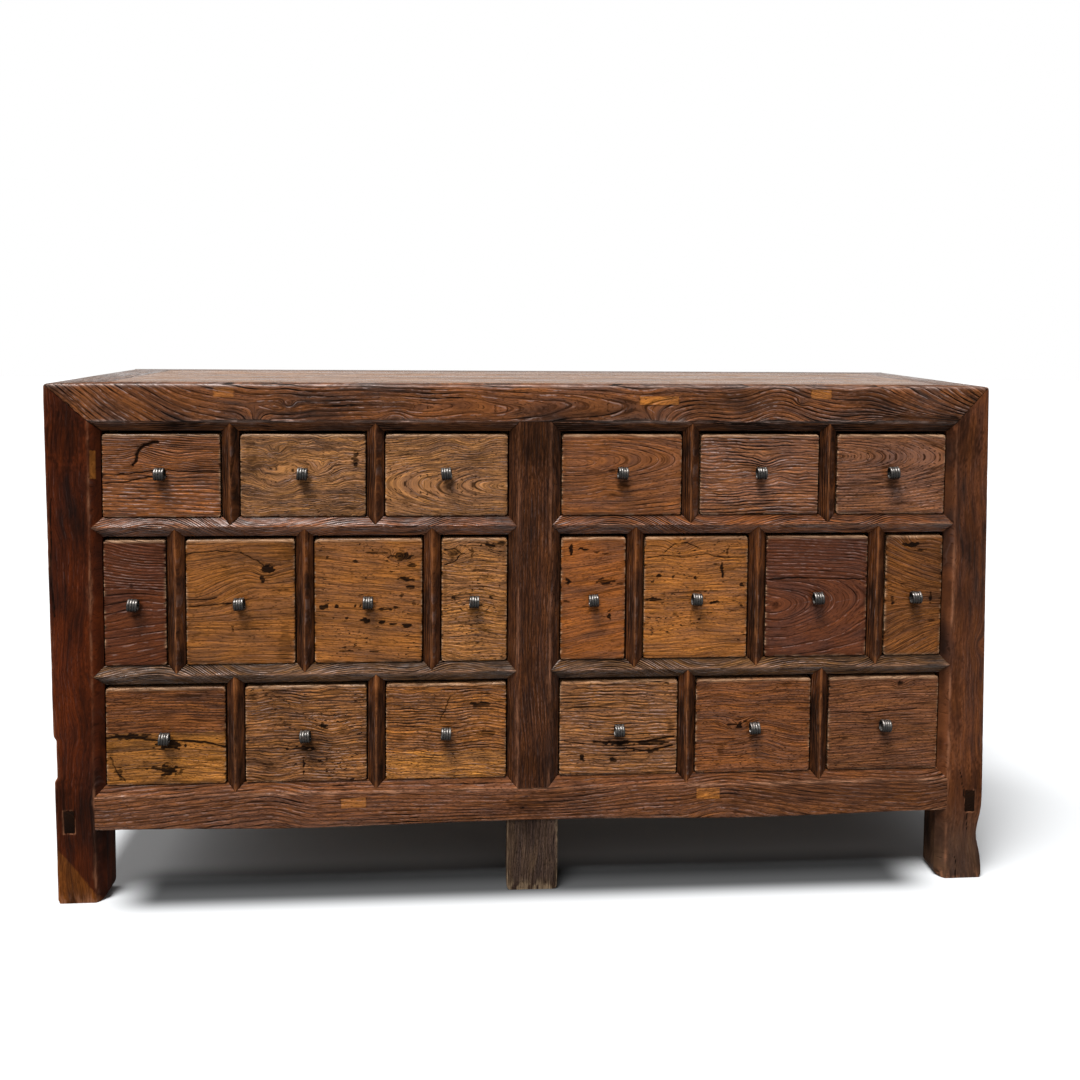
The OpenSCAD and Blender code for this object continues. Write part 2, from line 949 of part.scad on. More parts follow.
module shank() {
    block(
        [-shank_w / 2, -pull_gap - strip_t, -shank_h / 2],
        [shank_w / 2, front_t, shank_h / 2]
    );
}

// Section of the strip, with its outer face ribbed, for a turn of the given outer radius
module strip_section(r) {
    rib = pull_w / ribs;
    polygon(concat(
        [[r - strip_t, -pull_w / 2], [r - rib_d, -pull_w / 2]],
        [for (i = [0 : ribs - 1], k = [0 : 1])
            [k == 0 ? r : r - rib_d, -pull_w / 2 + (i + (k + 1) / 2) * rib]],
        [[r - strip_t, pull_w / 2]]
    ));
}

// The roll starts at the shank, goes over the top, down in front and up again inside
module roll() {
    inner_r = pull_r - strip_t - roll_gap;
    middle_r = (pull_r + inner_r) / 2;
    half_turn = 180;
    rotate([0, 90, 0]) {
        rotate([0, 0, 90]) rotate_extrude(angle = half_turn) strip_section(pull_r);
        translate([0, middle_r - pull_r, 0])
            rotate([0, 0, -90]) rotate_extrude(angle = half_turn) strip_section(middle_r);
        rotate([0, 0, 90]) rotate_extrude(angle = leaf_turn) strip_section(inner_r);
    }
}

module clench() {
    block([-shank_w / 2, front_t, -clench_l], [shank_w / 2, front_t + strip_t, shank_h / 2]);
}

module pull(cell) {
    color(iron)
        in_drawer_place(cell)
            translate([0, 0, cell_pull_z(cell)]) {
                translate([0, pull_y, 0]) roll();
                shank();
                clench();
            }
}

front_post_left();
front_post_right();
rear_posts();
centre_post();
centre_feet();
top_front_rail();
top_back_rail();
top_end_rails();
top_boards();
top_battens();
upper_rails();
lower_rails();
bottom_rail();
drawer_dividers();
side_rails();
side_panels();
back_frame();
back_panels();
runner_boards();
drawer_guides();
for (cell = cells) {
    drawer(cell);
    pull(cell);
}
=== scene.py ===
import math
from contextlib import contextmanager
from functools import reduce

import bmesh
import bpy
import numpy as np
from bpy.props import FloatProperty, FloatVectorProperty, PointerProperty
from mathutils import Matrix, Vector


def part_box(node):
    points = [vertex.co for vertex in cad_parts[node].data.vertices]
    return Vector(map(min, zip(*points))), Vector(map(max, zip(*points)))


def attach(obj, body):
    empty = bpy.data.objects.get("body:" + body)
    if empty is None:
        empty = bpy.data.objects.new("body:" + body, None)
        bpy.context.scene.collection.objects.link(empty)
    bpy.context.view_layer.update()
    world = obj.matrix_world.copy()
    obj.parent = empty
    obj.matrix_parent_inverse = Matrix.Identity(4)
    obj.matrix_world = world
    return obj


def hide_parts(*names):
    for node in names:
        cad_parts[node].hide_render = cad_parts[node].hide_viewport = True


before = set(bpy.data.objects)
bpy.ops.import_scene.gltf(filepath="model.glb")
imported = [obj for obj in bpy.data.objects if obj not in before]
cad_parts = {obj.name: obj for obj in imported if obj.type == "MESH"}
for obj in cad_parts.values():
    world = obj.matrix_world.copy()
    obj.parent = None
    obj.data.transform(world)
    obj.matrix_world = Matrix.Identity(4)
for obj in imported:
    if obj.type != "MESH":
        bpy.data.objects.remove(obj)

bl_info = {
    "name": "Apothecary chest", "version": (1, 0, 0), "blender": (4, 5, 0),
    "location": "View3D > Sidebar > Chest",
    "description": "Worn elm boards, rolled iron pulls and a studio for an apothecary chest",
    "category": "Object",
}

MM = 0.001
X, Y, Z = 0, 1, 2
ROWS = {"top": 6, "middle": 8, "bottom": 6}


def drawers():
    """Yields each drawer's row and its number in the row, from the left."""
    for row, count in ROWS.items():
        for number in range(1, count + 1):
            yield row, number


# Places taken from the frame, in metres

POST_LOW, POST_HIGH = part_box("front_post_right")
RAIL_LOW, RAIL_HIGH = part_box("top_front_rail")
BASE_LOW, BASE_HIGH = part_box("bottom_rail")
CENTRE_LOW, CENTRE_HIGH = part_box("centre_post")
FRONT = CENTRE_LOW.y
HEIGHT = RAIL_HIGH.z
TOP_Z = RAIL_LOW.z
BASE_Z = BASE_HIGH.z
POST_X = POST_LOW.x
POST_W = POST_HIGH.x - POST_LOW.x
POST_D = POST_HIGH.y - POST_LOW.y
RAIL_D = BASE_HIGH.y - FRONT
CENTRE_W = CENTRE_HIGH.x - CENTRE_LOW.x
SIDE_GAP = 0.002  # beside a drawer
ARRIS = 0.003  # rounding of the outer arrises of the long rails
LEAN_LEFT, LEAN_RIGHT = 0.010, 0.014  # how far the outer sides have settled


def rail_span(node):
    """Bottom and top of a pair of rails between the rows."""
    low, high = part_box(node)
    return [low.z, high.z]


def row_span(row):
    """Bottom and top of a row of openings."""
    levels = [BASE_Z, *rail_span("lower_rails"), *rail_span("upper_rails"), TOP_Z]
    start = {"bottom": 0, "middle": 2, "top": 4}[row]
    return levels[start], levels[start + 1]


# Selecting and cutting, as at the bench


def deselect():
    bpy.ops.object.select_all(action="DESELECT")


def only(obj):
    deselect()
    obj.select_set(True)
    bpy.context.view_layer.objects.active = obj


@contextmanager
def editing(obj, kind="EDGE"):
    """Edit mode on one object, with nothing selected in it."""
    only(obj)
    bpy.ops.object.mode_set(mode="EDIT")
    bpy.ops.mesh.select_mode(type=kind)
    bpy.ops.mesh.select_all(action="DESELECT")
    try:
        yield bmesh.from_edit_mesh(obj.data)
    finally:
        bpy.ops.object.mode_set(mode="OBJECT")


def settle(obj):
    """Puts an object's place into its mesh."""
    only(obj)
    bpy.ops.object.transform_apply(location=True, rotation=True, scale=True)


def blank(name, low, high):
    """A squared block between two corners."""
    low, high = Vector(low), Vector(high)
    deselect()
    bpy.ops.mesh.primitive_cube_add(size=1, location=(low + high) / 2, scale=high - low)
    obj = bpy.context.object
    obj.name = obj.data.name = name
    settle(obj)
    return obj


def saw(obj, point, normal, cut_off=True):
    """Cuts through an object: the side the normal points to falls off, or a line is cut."""
    with editing(obj):
        bpy.ops.mesh.select_all(action="SELECT")
        bpy.ops.mesh.bisect(plane_co=point, plane_no=normal, use_fill=cut_off, clear_outer=cut_off)


def runs_along(edge, axis):
    way = edge.verts[1].co - edge.verts[0].co
    return abs(way[axis]) > 0.9 * way.length > 0


def ease(obj, radius, wanted, segments=3):
    """Rounds the edges that wanted() picks."""
    with editing(obj) as bm:
        for e in bm.edges:
            if wanted(e):
                e.select_set(True)
        bmesh.update_edit_mesh(obj.data)
        bpy.ops.mesh.bevel(
            offset=radius, segments=segments, profile=0.5, affect="EDGES", clamp_overlap=True
        )


def cut_strips(obj, pitch, wanted):
    """Cuts the long four-sided faces that wanted() picks into strips along X, a pitch wide."""
    for _ in range(60):
        with editing(obj) as bm:
            found = None
            for f in bm.faces:
                across = [e for e in f.edges if not runs_along(e, X)]
                if len(f.edges) != 4 or len(across) != 2 or not wanted(f):
                    continue
                width = min((e.verts[1].co - e.verts[0].co).yz.length for e in across)
                if width > 1.6 * pitch:
                    found = (across, round(width / pitch) - 1)
                    break
            if found is None:
                return
            for e in found[0]:
                e.select_set(True)
            bmesh.update_edit_mesh(obj.data)
            bpy.ops.mesh.subdivide_edgering(number_cuts=found[1], interpolation="LINEAR")


def cut_lengths(obj, pitch, axis=X, wanted=lambda e: True):
    """Cuts the edges along an axis into lengths of a pitch."""
    with editing(obj) as bm:
        longest = 0.0
        for e in bm.edges:
            if runs_along(e, axis) and wanted(e):
                e.select_set(True)
                longest = max(longest, e.calc_length())
        bmesh.update_edit_mesh(obj.data)
        bpy.ops.mesh.subdivide_edgering(
            number_cuts=max(1, round(longest / pitch) - 1), interpolation="LINEAR"
        )


# Numbers of a mesh


def read(data, kind, count=3):
    values = np.empty(len(data) * count, np.float32)
    data.foreach_get(kind, values)
    return values.reshape(-1, count).astype(float)


def points_of(obj):
    return read(obj.data.vertices, "co")


def move_points(obj, points):
    obj.data.vertices.foreach_set("co", points.astype(np.float32).ravel())
    obj.data.update()


def normals_of(obj):
    return read(obj.data.vertex_normals, "vector")


def write(obj, name, values):
    """Keeps numbers on a mesh's points: one each, or three each as a vector."""
    single = values.ndim == 1
    old = obj.data.attributes.get(name)
    if old:
        obj.data.attributes.remove(old)
    made = obj.data.attributes.new(name, "FLOAT" if single else "FLOAT_VECTOR", "POINT")
    made.data.foreach_set("value" if single else "vector", values.astype(np.float32).ravel())


def noise(points, seed):
    """Smooth noise from -1 to 1 at points given in cells."""
    cell = np.floor(points)
    part = points - cell
    part = part * part * part * (part * (part * 6 - 15) + 10)
    cell = cell.astype(np.int64).astype(np.uint64)
    total = np.zeros(len(points))
    for corner in range(8):
        bits = [(corner >> k) & 1 for k in range(3)]
        h = np.full(len(points), (seed * 7919 + 17) & 0xFFFFFFFF, np.uint64)
        weight = np.ones(len(points))
        for k, prime in enumerate((374761393, 668265263, 2246822519)):
            h ^= ((cell[:, k] + np.uint64(bits[k])) * np.uint64(prime)) & np.uint64(0xFFFFFFFF)
            h = ((h ^ (h >> np.uint64(15))) * np.uint64(2654435761)) & np.uint64(0xFFFFFFFF)
            weight *= part[:, k] if bits[k] else 1 - part[:, k]
        h ^= h >> np.uint64(13)
        total += weight * (h.astype(float) / 2147483648.0 - 1)
    return total


def bell(distance, width):
    return np.exp(-((distance / width) ** 2))


def step_up(value, low, high):
    t = np.clip((value - low) / (high - low), 0, 1)
    return t * t * (3 - 2 * t)


def to_line(points, line):
    """Distance of points to a line through the given corners, in two directions."""
    best = np.full(len(points), 1e9)
    for start, end in zip(line, line[1:]):
        start, end = np.array(start, float), np.array(end, float)
        way = end - start
        t = np.clip((points - start) @ way / (way @ way), 0, 1)
        best = np.minimum(best, np.hypot(*(points - start - t[:, None] * way).T))
    return best


# Figure of the wood. A board's own directions are along its grain, across it and into it, in
# millimetres. Its rings lie round a pith, given by its place across and its depth, and lean gives
# how that place shifts along the board, across it and into it. A field draws the rings
# instead. They stray by wander in waves that are long along the grain, and by ripple in fine ones.
# swirl adds bigger turns, less of them towards the first level of calm. A knot has its place, its
# size and how many rings it lifts; a slant has its middle, its half length and its slope.

STRAIGHT = dict(
    ring=5.0, pith=(-90.0, 40.0), lean=(0.0, 0.0), wander=4.0, long=110.0, ripple=0.4, swirl=0.0,
    swirl_size=30.0, calm=None, field=None, knots=(), slants=(), seed=1,
)


def ring_of(points, figure):
    """Ring number, with its fraction, at points of a board."""
    g = {**STRAIGHT, **figure}
    along, across, into = points.T
    seed = g["seed"]
    broad = np.c_[along / g["long"], across / 55, into / 55]
    fine = np.c_[along / 22, across / 8, into / 8]
    across = across - g["pith"][0] - g["lean"][0] * along
    into = into + g["pith"][1] + g["lean"][1] * along
    across = across + g["wander"] * noise(broad, seed) + g["ripple"] * noise(fine, seed + 1)
    into = into + g["wander"] * noise(broad + 9.3, seed + 2)
    if g["swirl"]:
        coarse = points / g["swirl_size"]
        swirl = g["swirl"] * (noise(coarse, seed + 3) + 0.45 * noise(coarse * 2.1, seed + 4))
        if g["calm"]:
            swirl *= step_up(points[:, 1], *g["calm"])
        across = across + swirl
    if g["field"]:
        ring = g["field"](points[:, 0], points[:, 1] + 0.5 * g["wander"] * noise(broad, seed))
    else:
        ring = np.hypot(across, into) / g["ring"]
    ring += 0.35 * noise(np.c_[ring / 3.1, 0 * ring, along / 400], seed + 5)
    for a, c, radius, lift in g["knots"]:
        away = np.hypot((points[:, 0] - a) / 1.6, points[:, 1] - c)
        ring += lift * bell(away, radius)
    for a, half, slope in g["slants"]:
        away = points[:, 0] - a
        ring += slope * away / g["ring"] * (1 - step_up(np.abs(away), half * 0.6, half))
    return ring


def fall_of(points, figure, ring):
    """Which way the rings of a board rise at its points: up or down across it from 1 to -1, and
    how many there are to a millimetre."""
    up = ring_of(points + (0, 0.7, 0), figure) - ring
    ahead = ring_of(points + (0.7, 0, 0), figure) - ring
    steep = np.maximum(np.hypot(up, ahead), 1e-6)
    return up / steep, steep / 0.7


def carve_group():
    """The modifier that moves points along their normals by what they hold as relief."""
    made = bpy.data.node_groups.get("Carve")
    if made:
        return made
    made = bpy.data.node_groups.new("Carve", "GeometryNodeTree")
    for way in ("INPUT", "OUTPUT"):
        made.interface.new_socket("Geometry", in_out=way, socket_type="NodeSocketGeometry")
    new, link = made.nodes.new, made.links.new
    start, end = new("NodeGroupInput"), new("NodeGroupOutput")
    place, normal = new("GeometryNodeSetPosition"), new("GeometryNodeInputNormal")
    held, scale = new("GeometryNodeInputNamedAttribute"), new("ShaderNodeVectorMath")
    held.data_type, held.inputs["Name"].default_value = "FLOAT", "relief"
    scale.operation = "SCALE"
    link(start.outputs[0], place.inputs["Geometry"])
    link(normal.outputs[0], scale.inputs[0])
    link(held.outputs["Attribute"], scale.inputs["Scale"])
    link(scale.outputs[0], place.inputs["Offset"])
    link(place.outputs[0], end.inputs[0])
    return made


def carve(obj, relief):
    """Moves an object's points along their normals by relief, in metres."""
    write(obj, "relief", relief)
    only(obj)
    wear = obj.modifiers.new("Carve", "NODES")
    wear.node_group = carve_group()
    bpy.ops.object.modifier_apply(modifier=wear.name)
    obj.data.attributes.remove(obj.data.attributes["relief"])


def smooth(obj, degrees=35):
    only(obj)
    bpy.ops.object.shade_smooth_by_angle(angle=math.radians(degrees))


def weather(
    obj, figure, depth=0.5, groove=1.3, arrises=(), border=None, cracks=(), blots=(), patches=(),
    chips=0.0, pressed=(), worn=0.0, grime=0.0, plank=None, joints=(), sunk=(1.0, 8.5), scuffed=0.0,
    shape=None,
):
    """Carves the grain of a board that still lies along X with its face to -Y at Y 0, and keeps
    on its points what its material reads: grain (along, ring, across), fall (how its rings rise)
    and age (stains with painted shade, wear with some painted highlights, patch). Its marks are in
    millimetres.

    arrises: the place across and into the board, the width and the least wear of each
    border: half sizes of a drawer front, paler at its top edge, partly worn and partly a painted
    highlight, with painted shade at its sides and foot
    cracks: width, depth and line; blots: place, half sizes and strength
    patches: place, half sizes and paleness of each piece let in
    pressed: place, half sizes and depth of a tenon's end
    joints: where each mitre starts on the middle line, its way and half the breadth
    plank: where the board is a smoother, paler piece, how much so and how soft its edge is
    sunk: depths between which dirt and painted shade darken the wood; scuffed: wear along the
    middle line
    shape: a last change to the points, such as a rounded corner
    """
    flat = points_of(obj)
    normals = normals_of(obj)
    points = np.c_[flat[:, 0], flat[:, 2], flat[:, 1]] / MM
    along, across, into = points.T
    seed = figure.get("seed", 1) * 31
    ring = ring_of(points, figure)
    lift, steep = fall_of(points, figure, ring)
    uneven = 0.62 + 0.38 * noise(np.c_[along / 35, across / 14, into / 14], seed + 1)
    facing = step_up(np.maximum(-normals[:, 1], normals[:, 2]), 0.25, 0.7)
    off_line = (ring - np.round(ring)) / np.maximum(steep, 0.03)
    relief = -depth * bell(off_line, groove) * uneven * facing
    relief -= 0.12 * depth * facing * (1 + noise(points / (9, 3, 3), seed + 2))
    stain_and_shade, wear, patch = np.zeros((3, len(points)))
    # dirt and painted shade: darker the deeper a point lies, between the two depths of sunk
    stain_and_shade += grime * step_up(into, *sunk) * (0.7 + 0.3 * noise(points / (40, 9, 9), seed + 9))
    broken = 0.5 + 0.5 * noise(np.c_[along / 16, across / 5, into / 5], seed + 3)
    slow = 0.5 + 0.5 * noise(np.c_[along / 60, across / 20, into / 20], seed + 4)
    for c, d, width, steady in arrises:
        near = bell(np.hypot(across - c, into - d), width)
        wear = np.maximum(wear, near * np.maximum(step_up(slow + 0.5 * broken, 0.5, 1.0), steady))
        if chips:
            bite = step_up(broken * slow, 0.34, 0.6) * bell(np.hypot(across - c, into - d), 4.5)
            relief -= chips * bite
            wear = np.maximum(wear, 0.8 * bite)
    if border:
        half_a, half_c = border
        edge = np.minimum(half_a - np.abs(along), half_c - np.abs(across))
        # the top edge is paler: partly worn, partly a painted highlight
        rim = 0.7 + 0.6 * step_up(slow + 0.4 * broken, 0.3, 0.9)
        wear = np.maximum(wear, bell(half_c - 1.3 - across, 1.9) * rim)
        wear = np.maximum(wear, bell(edge - 0.8, 1.3) * step_up(broken, 0.42, 0.7))
        stain_and_shade = np.maximum(stain_and_shade, 0.45 * bell(edge - 4, 4.5) * slow)
        # painted shade: ragged dark bands at the sides and the foot, where the gaps round the front
        # are in shadow
        jagged = np.clip(noise(np.c_[along / 7, across / 2.4, into / 4], seed + 11), 0, 1)
        side = np.clip(half_a - np.abs(along) - 2.6 * jagged, 0, None)
        low = np.clip(half_c + across - 0.8 * jagged, 0, None)
        stain_and_shade = np.maximum(stain_and_shade, 0.95 * bell(np.minimum(side, low), 0.8))
        relief -= 0.8 * bell(edge, 2.2) * step_up(broken, 0.55, 0.85)
    plane = points[:, :2]
    wobble = np.c_[noise(points / (14, 6, 6), seed + 5), noise(points / (11, 5, 5), seed + 6)]
    ragged = noise(points / (5.5, 2.8, 2.8), seed + 10) if blots else 0
    for width, deep, line in cracks:
        away = to_line(plane + wobble * (2.0, 1.1), line)
        open_crack = bell(away, width) * facing
        relief -= deep * open_crack
        stain_and_shade = np.maximum(stain_and_shade, 1.6 * bell(away, width * 0.9))
        stain_and_shade = np.maximum(stain_and_shade, 0.5 * bell(away, width * 3.2) * slow)
    for a, c, half_a, half_c, strength in blots:
        away = np.hypot(
            (along - a + 2 * wobble[:, 0]) / half_a, (across - c + wobble[:, 1]) / half_c
        )
        rim = 0.12 if strength > 0.6 else 0.45
        dark = 1 - step_up(away + 0.55 * ragged, 0.95 - rim, 0.95 + rim)
        stain_and_shade = np.maximum(stain_and_shade, min(1.25 * strength, strength + 0.15) * dark)
    for a, c, half_a, half_c, tone in patches:
        away = np.maximum(np.abs(along - a) - half_a, np.abs(across - c) - half_c)
        inside = (away < 0) & (into < 6)
        patch = np.where(inside, tone, patch)
        relief = np.where(inside, relief * 0.4, relief)
        stain_and_shade = np.maximum(stain_and_shade, 0.9 * bell(away, 1.1) * (into < 6) * broken)
    for end, way, half in joints:
        gap = (half - np.abs(across) - way * (along - end)) / 1.4
        stain_and_shade = np.maximum(stain_and_shade, bell(gap, 1.5) * (0.5 + 0.5 * broken))
        relief -= 0.6 * bell(gap, 1.2)
    if scuffed:
        wear = np.maximum(wear, scuffed * bell(along, 13) * step_up(broken, 0.38, 0.6))
    if plank:
        a, c, level, share, soft = plank
        paler = share * step_up(a * along + c * across + level + 2 * wobble[:, 1], -soft, soft)
        patch = np.maximum(patch, paler)
        relief *= 1 - 0.6 * paler
    for a, c, half_a, half_c, deep in pressed:
        away = np.maximum(np.abs(along - a) - half_a, np.abs(across - c) - half_c)
        front = into < 6
        relief = np.where((away < 0.4) & front, -deep, relief)
        stain_and_shade = np.maximum(stain_and_shade, 0.85 * front * (1 - step_up(away, -0.5, 0.8)))
        wear = np.maximum(wear, 1.8 * bell(away - 1.4, 1.0) * front * step_up(broken, 0.3, 0.6))
    if worn:
        rough = noise(points / (26, 12, 12), seed + 7) + 0.5 * noise(points / (9, 5, 5), seed + 8)
        relief += worn * rough * facing
    write(obj, "grain", np.c_[along * MM, ring, across * MM])
    write(obj, "fall", np.c_[lift, steep, 0 * lift])
    write(obj, "age", np.c_[stain_and_shade, wear, patch])
    carve(obj, relief * MM)
    if shape:
        points = points_of(obj)
        shape(points)
        move_points(obj, points)


def set_upright(obj, x, z):
    """Turns a board that lies along X upright and puts it on the front."""
    obj.rotation_euler = (0, -math.pi / 2, 0)
    obj.location = (x, FRONT, z)
    settle(obj)


def lay(obj, x, z):
    obj.location = (x, FRONT, z)
    settle(obj)


def settle_sides(points):
    """Leans the outer sides, as the old frame has settled: the right one in at the top, the left
    one out at the top and in at the floor."""
    height = points[:, 2] / HEIGHT
    right = np.clip((points[:, 0] - POST_X) / POST_W, 0, 1)
    left = np.clip((-points[:, 0] - POST_X) / POST_W, 0, 1)
    points[:, 0] += LEAN_LEFT * left * (0.5 - height) - LEAN_RIGHT * right * height


def finish(obj, material, node, body="carcass"):
    """Gives a finished piece its material and its body, and hides the node it stands for."""
    if body == "carcass":
        points = points_of(obj)
        settle_sides(points)
        move_points(obj, points)
    obj.data.materials.clear()
    obj.data.materials.append(material)
    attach(obj, body)
    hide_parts(node)


# Shader groups


def rgb(value):
    """A colour given as it looks on a screen, in the shader's own scale."""
    return [c / 12.92 if c <= 0.04045 else ((c + 0.055) / 1.055) ** 2.4 for c in value]


def add_node(tree, kind, settings=None, **inputs):
    """A node with its settings made and its inputs linked or set. A trailing number names an
    input by its place."""
    made = tree.nodes.new(kind)
    for name, value in (settings or {}).items():
        setattr(made, name, value)
    for name, value in inputs.items():
        key = int(name[1:]) if name[0] == "i" and name[1:].isdigit() else name.replace("_", " ")
        socket = made.inputs[key]
        if isinstance(value, bpy.types.NodeSocket):
            tree.links.new(value, socket)
        else:
            socket.default_value = value
    return made


class Sheet:
    """Short words for the nodes of one tree."""

    def __init__(self, tree):
        self.tree = tree

    def math(self, how, a, b=0.0):
        return add_node(self.tree, "ShaderNodeMath", {"operation": how}, i0=a, i1=b).outputs[0]

    def times(self, *values):
        return reduce(lambda a, b: self.math("MULTIPLY", a, b), values)

    def plus(self, a, b):
        return self.math("ADD", a, b)

    def minus(self, a, b):
        return self.math("SUBTRACT", a, b)

    def rest(self, a):
        """What is left of 1."""
        return self.minus(1.0, a)

    def most(self, *values):
        return reduce(lambda a, b: self.math("MAXIMUM", a, b), values)

    def least(self, a, b):
        return self.math("MINIMUM", a, b)

    def within(self, a, low, high):
        return self.most(self.least(a, high), low)

    def vector(self, how, a, b=(0, 0, 0)):
        made = add_node(self.tree, "ShaderNodeVectorMath", {"operation": how}, i0=a, i1=b)
        return made.outputs[0]

    def xyz(self, source):
        return add_node(self.tree, "ShaderNodeSeparateXYZ", i0=source).outputs

    def join(self, x, y, z):
        return add_node(self.tree, "ShaderNodeCombineXYZ", i0=x, i1=y, i2=z).outputs[0]

    def ramp(self, value, low, high, to_low=0.0, to_high=1.0):
        made = add_node(
            self.tree, "ShaderNodeMapRange", {"interpolation_type": "SMOOTHSTEP"}, i0=value, i1=low,
            i2=high, i3=to_low, i4=to_high,
        )
        return made.outputs[0]

    def cloud(self, place, detail=3.0, rough=0.55):
        made = add_node(
            self.tree, "ShaderNodeTexNoise", Vector=place, Scale=1.0, Detail=detail,
            Roughness=rough,
        )
        return made.outputs["Fac"]

    def mix(self, share, a, b, how="MIX"):
        made = add_node(
            self.tree, "ShaderNodeMix", {"data_type": "RGBA", "blend_type": how}, i0=share, i6=a,
            i7=b,
        )
        return made.outputs[2]

    def held(self, name):
        """What a mesh's points hold under a name."""
        made = add_node(self.tree, "ShaderNodeAttribute", {"attribute_name": name})
        return made.outputs["Vector"]


def new_group(name, inputs, outputs):
    """A shader group with named sockets: its tree, its input node's sockets and its output node."""
    tree = bpy.data.node_groups.new(name, "ShaderNodeTree")
    for way, sockets in (("INPUT", inputs), ("OUTPUT", outputs)):
        for label, kind, value in sockets:
            made = tree.interface.new_socket(label, in_out=way, socket_type=f"NodeSocket{kind}")
            if value is not None and way == "INPUT":
                made.default_value = value
    return tree, tree.nodes.new("NodeGroupInput").outputs, tree.nodes.new("NodeGroupOutput").inputs


def board_grain_group():
    """Rings of a plain board from its own directions, which its mesh holds as board."""
    tree, given, out = new_group(
        "Board grain", [("Ring width", "Float", 0.006), ("Wander", "Float", 0.006)],
        [("Grain", "Vector", None)],
    )
    s = Sheet(tree)
    place = s.held("board")
    slow = s.cloud(s.vector("MULTIPLY", place, (5.0, 14.0, 14.0)), detail=2.0)
    along, across, into = s.xyz(place)
    across = s.plus(across, s.times(s.minus(slow, 0.5), given["Wander"], 4.0))
    far = s.math("SQRT", s.plus(s.math("POWER", across, 2.0), s.math("POWER", into, 2.0)))
    ring = s.math("DIVIDE", far, given["Ring width"])
    tree.links.new(s.join(along, ring, across), out["Grain"])
    return tree


